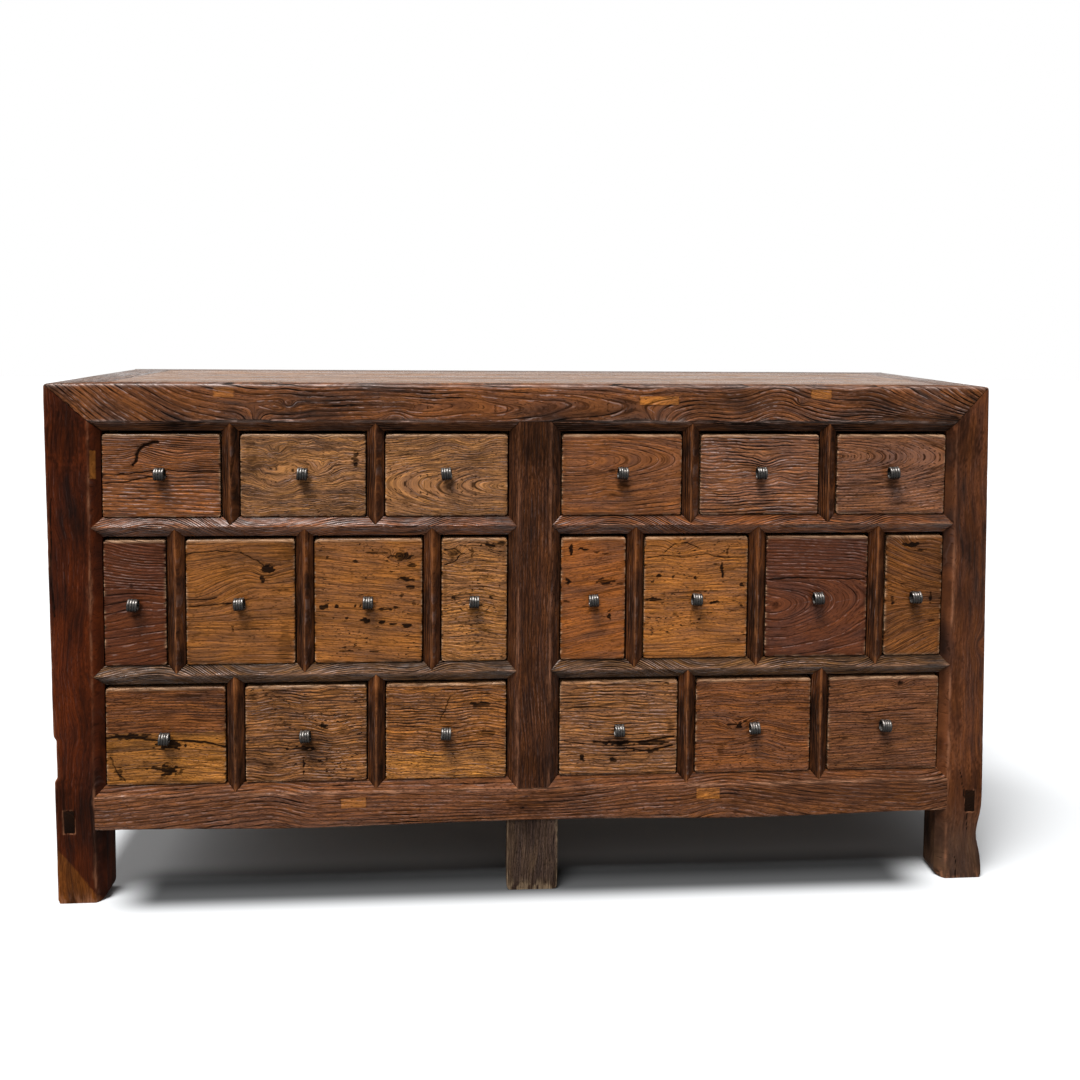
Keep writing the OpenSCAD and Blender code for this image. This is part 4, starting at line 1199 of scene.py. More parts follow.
class ChestTones(bpy.types.PropertyGroup):
    """Colours of the woods and the iron"""

    red_brown: colour("Red brown", "Reddish drawer fronts", "80491f")
    dark_red: colour("Dark red", "The two dark drawer fronts of the middle row", "572c15")
    orange_brown: colour("Orange brown", "Warm drawer fronts", "7c4822")
    mid_brown: colour("Mid brown", "Plain brown drawer fronts", "76482a")
    golden_brown: colour("Golden brown", "Weathered fronts of the bottom row", "86552b")
    tan: colour("Tan", "Paler fronts of the top row", "926238")
    tan_gold: colour("Tan gold", "Narrow front left of the centre post", "946030")
    golden: colour("Golden", "Golden fronts", "8f5724")
    honey: colour("Honey", "Narrow front right of the centre post", "8a4d1b")
    umber: colour("Umber", "Narrow front at the right end", "70421c")
    frame_brown: colour("Frame", "Rails above the middle row, and the sides", "78421b")
    frame_dark: colour("Lower frame", "Rails below the middle row", "613f1e")
    rail_brown: colour("Long rails", "Top rail and bottom rail", "6c3e1e")
    divider: colour("Dividers", "Uprights between the drawers", "5c3113")
    post_red: colour("Left post", "Left corner post", "471b05")
    post_brown: colour("Right post", "Right corner post", "583018")
    dark_brown: colour("Centre post", "Upright in the middle", "4a2812")
    weathered: colour("Weathered", "Dry wood of the centre foot", "4c3a2e")
    top_wood: colour("Top", "Boards of the top", "755030")
    top_frame: colour("Top frame", "Ends and back of the top", "594030")
    inner_wood: colour("Inner wood", "Unfinished wood inside and behind", "8a6a48")
    # the next colour is also that of painted shade: in the recesses, at the sides and feet of the
    # drawer fronts and under the pulls
    grime: colour("Grime and shade", "Dirt in the open grain and in the cracks", "0e0704")
    worn: colour("Worn", "Rubbed arrises", "a5785c")
    # the next colour is partly a painted highlight on the top edges of the drawer fronts
    rim: colour("Rims", "Rubbed edges of the drawer fronts", "cfa682")
    ridge: colour("Ridges", "Rubbed ridges of the dividers", "985f36")
    post_worn: colour("Post arrises", "Rubbed arrises of the corner posts", "8a5c42")
    # the next colour is partly a painted highlight on the top rail's top arris
    rail_rim: colour("Top arris", "Rubbed arrises of the top rail", "b09a90")
    bare: colour("Bare", "Arrises of dry wood", "9c8468")
    patch: colour("Patch", "Pieces let into the rails", "a66629")
    plank: colour("Plank", "Paler lower parts of two drawer fronts", "a1672c")
    # the next colour is that of painted highlights on the grain
    catch: colour("Catch", "Edges of the open grain that catch the light", "a89088")
    iron: colour("Iron", "Pulls", "2e2c2a")
    rust: colour("Rust", "Rust on the pulls", "4a2c1c")


class ChestWood(bpy.types.PropertyGroup):
    """How the wood takes light"""

    sheen: fraction("Sheen", "Reflection of the bare wood", 0.04)
    wax_roughness: fraction("Wax roughness", "Roughness of the wax on the ridges", 0.26)
    bump: size("Bump", "Height of the fine grain", 0.0013)


class ChestStage(bpy.types.PropertyGroup):
    """Light, floor and camera"""

    sun: amount("Sun", "Strength of the main light", 6.1, min=0)
    softness: angle("Softness", "Width of the main light as an angle", 0.48)
    height: angle("Height", "Angle of the main light above the floor", 1.17)
    swing: angle("Swing", "Angle of the main light to the left", 0.62)
    sky: amount("Sky", "Strength of the light from all round", 0.24, min=0)
    side: amount("Side light", "Strength of the light from the left", 1.9, min=0)
    side_softness: angle("Side softness", "Width of the side light as an angle", 0.6)
    side_height: angle("Side height", "Angle of the side light above the floor", 0.45)
    side_swing: angle("Side swing", "Angle of the side light to the left", 1.85)
    floor: fraction("Floor", "Paleness of the floor", 0.55)
    # foot_shade sets a painted shadow on the floor along the front
    foot_shade: fraction("Foot shade", "How much darker the floor is along the front", 0.9)
    bounce: fraction("Bounce", "Paleness of the floor as the chest sees it", 0.3)
    lens: amount("Lens", "Focal length in millimetres", 35.06, min=1)
    place: FloatVectorProperty(
        name="Camera", description="Place of the camera", default=(-0.1160, -2.0397, 1.0118),
        subtype="TRANSLATION",
    )
    turn: FloatVectorProperty(
        name="Turn", description="Turn to the right, tilt down and roll of the camera",
        default=(0.06815, 0.0575, 0.00814), subtype="EULER",
    )
    rise: amount("Rise", "Upward shift of the picture", -0.1501)


def square_to_round(points, corner_a, corner_b, axes, radius):
    """Rounds a square corner: the points in the square of the radius by it move onto arcs."""
    a, b = axes
    way_a, way_b = math.copysign(1, corner_a[1]), math.copysign(1, corner_b[1])
    u = (points[:, a] - corner_a[0]) * way_a + radius
    v = (points[:, b] - corner_b[0]) * way_b + radius
    near = (u > 0) & (v > 0)
    u, v = np.clip(u, 0, None), np.clip(v, 0, None)
    scale = np.maximum(u, v) / np.maximum(np.hypot(u, v), 1e-9)
    points[:, a] = np.where(near, corner_a[0] + way_a * (u * scale - radius), points[:, a])
    points[:, b] = np.where(near, corner_b[0] + way_b * (v * scale - radius), points[:, b])


class CHEST_OT_groups(bpy.types.Operator):
    """Make the shader groups that the materials share"""

    bl_idname = "chest.groups"
    bl_label = "Shader groups"

    def execute(self, context):
        for make in (board_grain_group, elm_group, metal_group):
            make()
        return {"FINISHED"}


class CHEST_OT_corner_posts(bpy.types.Operator):
    """Make the two front corner posts, whose lower ends are the feet"""

    bl_idname = "chest.corner_posts"
    bl_label = "Corner posts"

    def execute(self, context):
        sizes = context.scene.chest_sizes
        low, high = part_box("side_rails")
        for side, name, tone in ((-1, "left", "post_red"), (1, "right", "post_brown")):
            # the inner side is at +Z on the right post while it lies along X
            half, inner, left = POST_W / 2, side, side < 0
            seed = 41 if left else 42
            obj = blank(f"corner_post_{name}", (0, 0, -half), (HEIGHT, POST_D, half))
            plane_bevel(obj, half, inner, sizes)
            # close lines where the foot's rounding ends
            for gap in (0.025, 0.026, 0.027):
                saw(obj, (0, 0, inner * (half - gap)), (0, 0, 1), cut_off=False)
            bevel_edge = (inner * (half - sizes.bevel_width), 0.0)
            ease(obj, sizes.easing, long_edges(bevel_edge))
            ease(obj, 0.0035, long_edges((-inner * half, 0.0)), segments=4)
            saw(obj, (TOP_Z, 0, inner * half), (POST_W, 0, inner * (HEIGHT - TOP_Z)))
            saw(obj, (HEIGHT, 0, 0), (POST_D, HEIGHT - TOP_Z, 0))
            cut_strips(obj, sizes.pitch, visible)
            cut_strips(obj, 0.005, lambda f: f.normal.z * inner < -0.5)
            cut_lengths(obj, sizes.pitch)
            # the end of the lowest side rail's tenon: 18 by 38 mm, 15 mm from the outer side
            through = 1000 * (high.x - 0.015 - 0.009)
            tenon_z = (low.z + 0.009 + 0.019) / MM
            tenon_x = -inner * (through - 1000 * (POST_X + half))

            def foot(points, inner=inner, half=half, left=left):
                corner = (inner * half, inner)
                square_to_round(points, (0.0, -1), corner, (0, 2), sizes.foot_radius)
                outer = (-inner * half, -inner)
                square_to_round(points, (0.0, -1), outer, (0, 2), 0.45 * sizes.foot_radius)
                square_to_round(points, (HEIGHT, 1), outer, (0, 2), sizes.top_corner)
                # the left post is cut back between two nicks, the right one has a worn waist
                outward = np.clip(-inner * points[:, 2] / half, -0.4, 1)
                up = points[:, 0]
                if left:
                    bite = 0.0045 * step_up(up, 0.212, 0.222) * (1 - step_up(up, 0.284, 0.294))
                else:
                    bite = 0.010 * bell(up - 0.082, 0.036)
                points[:, 2] += inner * bite * ((outward + 0.4) / 1.4)

            if left:
                knots, patches = ((300, 5, 20, 1.4),), ((758, -33, 24, 5, 0.7),)
                cracks = ((1.0, 0.8, [(700, 34), (560, 38), (500, 33)]),)
                plank = (-1, 1.25, 47, 0.25, 1.0)
            else:
                knots, patches = ((430, -28, 12, 2.0),), ()
                cracks = (
                    (0.9, 0.9, [(0, 6), (24, 5), (40, 9)]),
                    (0.8, 0.6, [(90, -20), (160, -6), (200, 2)]),
                )
                plank = (-1, 0, 110, 0.7, 60)
            figure = dict(
                ring=7.5, pith=(inner * 60, 30), wander=9, long=190, ripple=0.5, swirl=3,
                swirl_size=60, knots=knots, seed=seed,
            )
            weather(
                obj, figure, depth=0.2, worn=0.2, grime=0.7,
                joints=((HEIGHT / MM, 1, 1000 * half),),
                arrises=((bevel_edge[0] / MM, 0.4, 2.2, 0.2), (-inner * half / MM, 1.5, 3.0, 0.0)),
                chips=0.25, scuffed=1.3, pressed=((tenon_z, tenon_x, 19, 9, 1.2),),
                blots=(
                    (800, 10, 50, 40, 0.5), (150, 0, 60, 60, 0.4), (330, inner * 14, 90, 12, 0.4),
                    (640, -10, 70, 16, 0.35), (180, -inner * 30, 40, 14, 0.5),
                    (70, 0, 120, 70, 0.3), (500, inner * 4, 60, 20, 0.3),
                ),
                patches=patches, plank=plank, cracks=cracks, shape=foot,
            )
            smooth(obj)
            set_upright(obj, side * (POST_X + half), 0)
            material = elm(
                f"Corner post {name}", tone, seed, rings=0.2, fine=2.5, hair=0.4, shine=0.05,
                pores=0.5, mottle=1.4, gloss=0.06 if left else 0.16, worn="post_worn",
                patch="patch" if left else "weathered",
            )
            finish(obj, material, f"front_post_{name}")
        return {"FINISHED"}


class CHEST_OT_centre_post(bpy.types.Operator):
    """Make the wide upright in the middle of the front"""

    bl_idname = "chest.centre_post"
    bl_label = "Centre post"

    def execute(self, context):
        obj = bar(
            "centre_upright", TOP_Z - BASE_Z, CENTRE_W, RAIL_D,
            dict(ring=5.2, pith=(-90, 30), wander=6, long=240, ripple=0.4, seed=43), depth=0.4,
            worn=0.15, grime=0.75,
            blots=((590, 0, 60, 50, 0.5), (300, 10, 240, 14, 0.3), (20, 0, 30, 50, 0.4)),
        )
        set_upright(obj, 0, BASE_Z)
        material = elm(
            "Centre post", "dark_brown", 43, rings=0.4, fine=1.7, shine=0.1, pores=0.7, mottle=1.0,
            gloss=0.14, worn="post_worn",
        )
        finish(obj, material, "centre_post")
        return {"FINISHED"}


def top_rail_rings(along, across):
    """Rings of the top rail: stripes that fall to the right at both ends, tips that point to the
    right in the middle, a hill right of them, and straight lines on the bevel."""
    u = np.clip(-470 - along, 0, None) / 270
    left = (across - 105 * u**2.0) / 11
    middle = np.hypot(across - 2, 0.08 * np.clip(along + 250, 0, None)) / 8
    dip = 9 * bell(along + 510, 34) - 8 * bell(along + 425, 30)
    middle = middle + dip / 9 * step_up(across, -20, 4)
    hill = (across - 21 * bell(along - 430, 52) + 0.05 * (along - 430)) / 7.2
    steps = np.clip(1 - (40 - across) / 66, 0.05, None)
    right = (along + 100 * np.log(steps)) / 22
    ring = left
    fields = ((middle, -520, -430, 0.0), (hill, 170, 290, 2.0), (right, 545, 640, -20.0))
    for field, low, high, shift in fields:
        over = step_up(along, low, high)
        ring = ring * (1 - over) + (field + shift) * over
    bevel = step_up(-across, 21.5, 24)
    return ring * (1 - bevel) + across / 3.3 * bevel


class CHEST_OT_top_rail(bpy.types.Operator):
    """Make the front rail of the top frame, with its three-way mitres"""

    bl_idname = "chest.top_rail"
    bl_label = "Top front rail"

    def execute(self, context):
        sizes = context.scene.chest_sizes
        half_w, high = RAIL_HIGH.x, HEIGHT - TOP_Z
        half = high / 2
        obj = blank("top_rail", (-half_w, 0, -half), (half_w, POST_D, half))
        plane_bevel(obj, half, -1, sizes)
        bevel_edge = (-half + sizes.bevel_width, 0.0)
        ease(obj, sizes.easing, long_edges(bevel_edge))
        ease(obj, ARRIS, long_edges((half, 0.0)), segments=4)
        for side in (-1, 1):
            saw(obj, (side * half_w, 0, half), (side * high, 0, -POST_W))
            saw(obj, (side * half_w, 0, 0), (side * POST_D, POST_W, 0))
        cut_strips(obj, sizes.pitch, visible)
        cut_strips(obj, 0.004, lambda f: f.normal.z > 0.5)
        cut_lengths(obj, sizes.pitch)

        def round_corners(points):
            for side in (-1, 1):
                square_to_round(points, (side * half_w, side), (half, 1), (0, 2), sizes.top_corner)

        weather(
            obj,
            dict(
                field=top_rail_rings, wander=7, long=60,
                knots=((-420, 4, 9, 1.6), (-240, -14, 12, 1.5), (466, 12, 6, 1.4)), seed=44,
            ),
            depth=0.9, worn=0.15, grime=0.85, sunk=(0.2, 5.0),
            # the top arris is paler all along: partly worn, partly a painted highlight
            arrises=((bevel_edge[0] / MM, 0.3, 2.0, 0.15), (half / MM, 0.5, 3.6, 0.9)), chips=1.7,
            groove=1.7,
            patches=(
                (215, 14, 34, 8, 1.0), (502, 26, 18, 8, 1.0), (-233, 14, 36, 9, 0.12),
                (-528, 27, 17, 9, 0.5),
            ),
            cracks=((1.0, 0.8, [(-820, 40), (-735, -40)]), (1.0, 0.8, [(820, 40), (735, -40)])),
            blots=(
                (-800, 0, 30, 40, 0.5), (800, 0, 34, 40, 0.4), (60, -8, 70, 16, 0.35),
                (-120, 0, 50, 24, 0.25), (-640, 4, 90, 30, 0.3), (-380, -6, 60, 16, 0.35),
                # the last blot darkens the downward-facing lower bevel all along: painted shade
                (330, 12, 70, 16, 0.35), (610, 16, 60, 18, 0.4), (0, -36, 900, 10, 0.55),
            ),
            shape=round_corners,
        )
        smooth(obj)
        lay(obj, 0, TOP_Z + half)
        material = elm(
            "Top rail", "rail_brown", 44, rings=0.97, groove=1.3, fine=3.0, hair=0.55, pores=0.7,
            mottle=1.5, gloss=0.4, shine=0.5, light=1.03, worn="rail_rim",
        )
        finish(obj, material, "top_front_rail")
        return {"FINISHED"}


def rail_rings(along, across):
    """Rings of a rail between the rows: straight, and slanting in two places."""
    slant = bell(along - 180, 130) * (along - 180) / 5.5
    slant = slant + bell(along - 560, 60) * (560 - along) / 9
    return across / 3.1 + slant


class CHEST_OT_rails(bpy.types.Operator):
    """Make the four bevelled rails between the rows"""

    bl_idname = "chest.rails"
    bl_label = "Rails between the rows"

    def execute(self, context):
        length = POST_X - CENTRE_W / 2
        levels = (("upper", "upper_rails", "frame_brown"), ("lower", "lower_rails", "frame_dark"))
        for row, (level, node, tone) in enumerate(levels):
            low, high = rail_span(node)
            material = elm(
                f"Rails {level}", tone, 45, rings=0.9, groove=0.75, fine=1.4, shine=0.75,
                mottle=1.2, gloss=0.7,
            )
            for side, start in (("left", -POST_X), ("right", CENTRE_W / 2)):
                seed = 50 + 2 * row + (side == "right")
                obj = bar(
                    f"{level}_rail_{side}", length, high - low, RAIL_D,
                    dict(field=rail_rings, wander=3, long=90, seed=seed), depth=0.6, worn=0.25,
                    chips=0.9, grime=0.55,
                )
                lay(obj, start, (low + high) / 2)
                finish(obj, material, node)
        return {"FINISHED"}


class CHEST_OT_bottom_rail(bpy.types.Operator):
    """Make the long rail under the bottom row, let into the corner posts"""

    bl_idname = "chest.bottom_rail"
    bl_label = "Bottom rail"

    def execute(self, context):
        sizes = context.scene.chest_sizes
        high = BASE_Z - BASE_LOW.z
        half, half_w = high / 2, POST_X + sizes.bevel_width
        obj = blank("base_rail", (-half_w, 0, -half), (half_w, RAIL_D, half))
        plane_bevel(obj, half, 1, sizes)
        bevel_edge = (half - sizes.bevel_width, 0.0)
        ease(obj, sizes.easing, long_edges(bevel_edge))
        ease(obj, ARRIS, long_edges((-half, 0.0)))
        for side in (-1, 1):
            saw(obj, (side * POST_X, 0, half), (side, 0, 1))
        cut_strips(obj, sizes.pitch, visible)
        cut_lengths(obj, sizes.pitch)

        def sag(points):
            # the lower edge hangs a little between the feet
            hang = bell(np.abs(points[:, 0]) - 0.4, 0.2) * step_up(-points[:, 2], -half, half)
            points[:, 2] -= 0.005 * hang

        weather(
            obj,
            dict(
                ring=6.4, pith=(-95, 30), wander=10, long=300, ripple=0.5,
                slants=((-600, 220, -0.08), (520, 260, 0.07)), seed=56,
            ),
            depth=0.6, worn=0.2, grime=0.35,
            arrises=((bevel_edge[0] / MM, 0.3, 2.0, 0.3), (-half / MM, 1.0, 2.5, 0.0)), chips=0.9,
            patches=((-312, 3, 22, 8, 0.9), (313, 6, 21, 9, 1.0)),
            blots=(
                (-10, -10, 40, 20, 0.5), (-20, -15, 5, 2.5, 0.8), (40, 5, 60, 6, 0.3),
                (580, 0, 260, 34, 0.32),
            ),
            shape=sag,
        )
        smooth(obj)
        lay(obj, 0, BASE_LOW.z + half)
        material = elm(
            "Bottom rail", "rail_brown", 56, rings=0.85, groove=1.15, fine=2.1, hair=0.8, pores=0.7,
            shine=0.25,
        )
        finish(obj, material, "bottom_rail")
        return {"FINISHED"}


class CHEST_OT_dividers(bpy.types.Operator):
    """Make the fourteen bevelled uprights between the drawers"""

    bl_idname = "chest.dividers"
    bl_label = "Dividers"

    def execute(self, context):
        material = elm(
            "Dividers", "divider", 60, rings=0.9, fine=1.3, mottle=1.2, gloss=0.2, shine=0.3,
            worn="ridge",
        )
        made = 0
        for row, count in ROWS.items():
            low, high = row_span(row)
            for number in range(1, count):
                if number == count // 2:
                    continue
                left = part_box(f"drawer_{row}_{number}")[1].x
                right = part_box(f"drawer_{row}_{number + 1}")[0].x
                made += 1
                obj = bar(
                    f"divider_{row}_{made}", high - low, right - left - 2 * SIDE_GAP, RAIL_D,
                    dict(ring=3.6, pith=(-22 + made, 18), wander=4, long=120, seed=60 + made),
                    easing=0.0024, steady=0.8, depth=0.35, worn=0.14, chips=0.4, grime=0.9,
                    sunk=(0.2, 6.0),
                )
                set_upright(obj, (left + right) / 2, low)
                finish(obj, material, "drawer_dividers")
        return {"FINISHED"}


class CHEST_OT_centre_feet(bpy.types.Operator):
    """Make the short blocks under the middle of the front and the back"""

    bl_idname = "chest.centre_feet"
    bl_label = "Centre feet"

    def execute(self, context):
        low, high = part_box("centre_feet")
        half, top = high.x, BASE_LOW.z
        inset, pitch, radius = low.y - FRONT, 0.0022, 0.008
        material = elm(
            "Centre foot", "weathered", 80, rings=0.3, hair=0.7, shine=0.1, pores=0.9, pits=0.7,
            mottle=0.8, gloss=0.1, worn="bare",
        )
        for place, front, turn in (("front", low.y, 0.0), ("back", high.y, math.pi)):
            obj = blank(f"centre_foot_{place}", (0, 0, -half), (top, RAIL_D - inset, half))
            ease(obj, 0.0015, long_edges((-half, 0.0), (half, 0.0)), segments=2)
            cut_strips(obj, pitch, visible)
            cut_strips(obj, 0.005, lambda f: abs(f.normal.z) > 0.5)
            cut_lengths(obj, pitch)

            def foot(points, half=half):
                for side in (-1, 1):
                    square_to_round(points, (0.0, -1), (side * half, side), (0, 2), radius)

            weather(
                obj, dict(ring=5.0, pith=(-60, 30), wander=4, long=90, ripple=0.8, seed=80),
                depth=0.6, worn=0.3,
                arrises=((-half / MM, 0.6, 1.8, 0.5), (half / MM, 0.6, 1.8, 0.5)), chips=0.5,
                scuffed=1.3, blots=((110, 0, 20, 50, 0.35),), shape=foot,
            )
            smooth(obj)
            obj.rotation_euler = (0, -math.pi / 2, 0)
            settle(obj)
            obj.rotation_euler = (0, 0, turn)
            obj.location = (0, front, 0)
            settle(obj)
            finish(obj, material, "centre_feet")
        return {"FINISHED"}


class CHEST_OT_drawer_fronts(bpy.types.Operator):
    """Make the twenty drawer fronts, each with its own figure"""

    bl_idname = "chest.drawer_fronts"
    bl_label = "Drawer fronts"

    def execute(self, context):
        sizes = context.scene.chest_sizes
        pitch = 0.72 * sizes.pitch
        for row, number in drawers():
            look = DRAWERS[f"{row}_{number}"]
            node = f"drawer_{row}_{number}"
            low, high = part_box(node)
            wide, tall = high.x - low.x, high.z - low.z
            half_w, half_h = wide / 2, tall / 2
            obj = blank(f"{node}_front", (-half_w, 0, -half_h), (half_w, sizes.front, half_h))
            # close lines along the edges, for their rounding
            for gap in (0.0005, 0.0013, 0.0025, sizes.corner):
                for side in (-1, 1):
                    saw(obj, (side * (half_w - gap), 0, 0), (1, 0, 0), cut_off=False)
                    saw(obj, (0, 0, side * (half_h - gap)), (0, 0, 1), cut_off=False)

            def inner_edge(e, half=half_w - sizes.corner, axis=X):
                middle = (e.verts[0].co + e.verts[1].co) / 2
                return middle.y < 1e-5 and abs(middle[axis]) < half - 1e-4

            def inner_upright(e, half=half_h - sizes.corner):
                return inner_edge(e, half, Z)

            cut_lengths(obj, pitch, X, inner_edge)
            cut_lengths(obj, pitch, Z, inner_upright)

            def ease_face(points, half_w=half_w, half_h=half_h):
                for a in (-1, 1):
                    for c in (-1, 1):
                        side, end = (a * half_w, a), (c * half_h, c)
                        square_to_round(points, side, end, (0, 2), sizes.corner)
                edge = np.minimum(half_w - np.abs(points[:, 0]), half_h - np.abs(points[:, 2]))
                round_over, most, front_depth = 0.0025, 0.0022, 0.004
                off = np.clip(round_over - edge, 0, round_over)
                drop = round_over - np.sqrt(np.maximum(round_over**2 - off**2, 0))
                points[:, 1] += np.where(points[:, 1] < front_depth, np.minimum(drop, most), 0)

            weather(
                obj, look["figure"], depth=look["depth"], border=(half_w / MM, half_h / MM),
                cracks=look.get("cracks", ()), plank=look.get("plank"),
                # the last blot, just below the pull, is a painted shadow
                blots=(*look.get("blots", ()), (1, -13, 11, 12, 0.55)), worn=0.12, shape=ease_face,
            )
            smooth(obj, 50)
            obj.location = ((low.x + high.x) / 2, low.y, (low.z + high.z) / 2)
            settle(obj)
            kinds = ("rings", "groove", "shine", "hair", "pores", "pits", "mottle", "gloss")
            wanted = {k: look[k] for k in kinds if k in look}
            material = elm(
                f"Drawer front {row} {number}", look["tone"], look["figure"]["seed"],
                light=look.get("light", 1.0), fine=look["figure"]["ring"] / 3, worn="rim",
                patch="plank", **wanted,
            )
            finish(obj, material, node, f"{row}_drawer_{number}")
        return {"FINISHED"}


def copy_of(source, name):
    """An object with its own copy of another's mesh."""
    obj = bpy.data.objects.new(name, source.data.copy())
    obj.data.name = name
    bpy.context.scene.collection.objects.link(obj)
    return obj


def board_copy(name, node):
    """A copy of a CAD node with its points merged and its flat faces whole again."""
    obj = copy_of(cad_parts[node], name)
    with editing(obj, "VERT"):
        bpy.ops.mesh.select_all(action="SELECT")
        bpy.ops.mesh.remove_doubles(threshold=1e-5)
        bpy.ops.mesh.dissolve_limited(angle_limit=math.radians(0.5))
    return obj


def ease_all(obj, radius):
    """Eases every sharp edge of an object."""
    ease(
        obj, radius, lambda e: e.is_manifold and e.calc_face_angle(0) > math.radians(30),
        segments=2,
    )


def keep_boards(obj, seed):
    """Keeps each solid's own directions on its points: along its length, across and into it, with
    its pith beside it. Its rings follow from them."""
    bm = bmesh.new()
    bm.from_mesh(obj.data)
    bm.verts.ensure_lookup_table()
    group = np.full(len(bm.verts), -1)
    count = 0
    for start in bm.verts:
        if group[start.index] >= 0:
            continue
        todo = [start]
        group[start.index] = count
        while todo:
            v = todo.pop()
            for e in v.link_edges:
                other = e.other_vert(v)
                if group[other.index] < 0:
                    group[other.index] = count
                    todo.append(other)
        count += 1
    bm.free()
    points = points_of(obj)
    board = np.zeros_like(points)
    draw = np.random.default_rng(seed)
    for k in range(count):
        mine = group == k
        own = points[mine]
        middle = (own.min(0) + own.max(0)) / 2
        order = np.argsort(-(own.max(0) - own.min(0)))
        local = (own - middle)[:, order]
        local[:, 0] += draw.uniform(-3, 3)
        beside = (own.max(0) - own.min(0))[order[1]] / 2 + draw.uniform(0.015, 0.05)
        local[:, 1] += beside * draw.choice((-1, 1))
        local[:, 2] += draw.uniform(0.03, 0.08)
        board[mine] = local
    write(obj, "board", board)
    write(obj, "age", np.zeros_like(points))


class CHEST_OT_drawer_boxes(bpy.types.Operator):
    """Make the sides, back and bottom of each drawer"""

    bl_idname = "chest.drawer_boxes"
    bl_label = "Drawer boxes"

    def execute(self, context):
        sizes = context.scene.chest_sizes
        material = elm(
            "Drawer inside", "inner_wood", 90, rings=0.35, pores=0.5, gloss=0.15, plain=0.006,
        )
        for row, number in drawers():
            node = f"drawer_{row}_{number}"
            obj = board_copy(f"{node}_box", node)
            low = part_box(node)[0]
            saw(obj, (0, low.y + sizes.front, 0), (0, -1, 0))
            keep_boards(obj, 100 + number)
            smooth(obj)
            finish(obj, material, node, f"{row}_drawer_{number}")
        return {"FINISHED"}


def outer_top_edge(e):
    """The long edge at the outside of a top end rail."""
    a, b = (v.co for v in e.verts)
    middle = (a + b) / 2
    return abs(a.y - b.y) > 0.1 and abs(middle.x) > RAIL_HIGH.x - MM and middle.z > HEIGHT - MM


class CHEST_OT_carcass(bpy.types.Operator):
    """Dress the top, the sides, the back and the inside of the carcass"""

    bl_idname = "chest.carcass"
    bl_label = "Top, sides and back"

    def execute(self, context):
        sizes = context.scene.chest_sizes
        top = elm(
            "Top boards", "top_wood", 91, rings=0.5, pores=0.7, mottle=0.5, gloss=0.75, plain=0.008,
        )
        frame_top = elm("Top frame", "top_frame", 92, rings=0.5, pores=0.6, gloss=0.7, plain=0.006)
        outer = elm("Side frame", "frame_brown", 93, rings=0.6, pores=0.6, gloss=0.5, plain=0.006)
        panel = elm("Side panels", "mid_brown", 94, rings=0.65, pores=0.6, gloss=0.5, plain=0.009)
        inner = elm("Inner wood", "inner_wood", 95, rings=0.35, pores=0.5, gloss=0.15, plain=0.007)
        dressed = (
            ("top_boards", top, 0.0006), ("top_end_rails", frame_top, 0.0012),
            ("top_back_rail", frame_top, 0.0012), ("rear_posts", outer, 0.0012),
            ("side_rails", outer, 0.0008), ("side_panels", panel, 0.0005),
            ("back_frame", inner, 0.0008), ("back_panels", inner, 0.0005),
            ("top_battens", inner, 0.0008), ("runner_boards", inner, 0.0005),
            ("drawer_guides", inner, 0.0008),
        )
        for seed, (node, material, radius) in enumerate(dressed):
            obj = board_copy(f"worn_{node}", node)
            if node == "top_end_rails":
                ease(obj, sizes.top_corner, outer_top_edge, segments=5)
            ease_all(obj, radius)
            keep_boards(obj, 200 + seed)
            if node == "side_rails":
                # the tenons' ends are dark
                ends = points_of(obj)[:, 1] < FRONT + 0.003
                write(obj, "age", np.c_[1.5 * ends, 0 * ends, 0 * ends])
            smooth(obj)
            finish(obj, material, node)
        return {"FINISHED"}


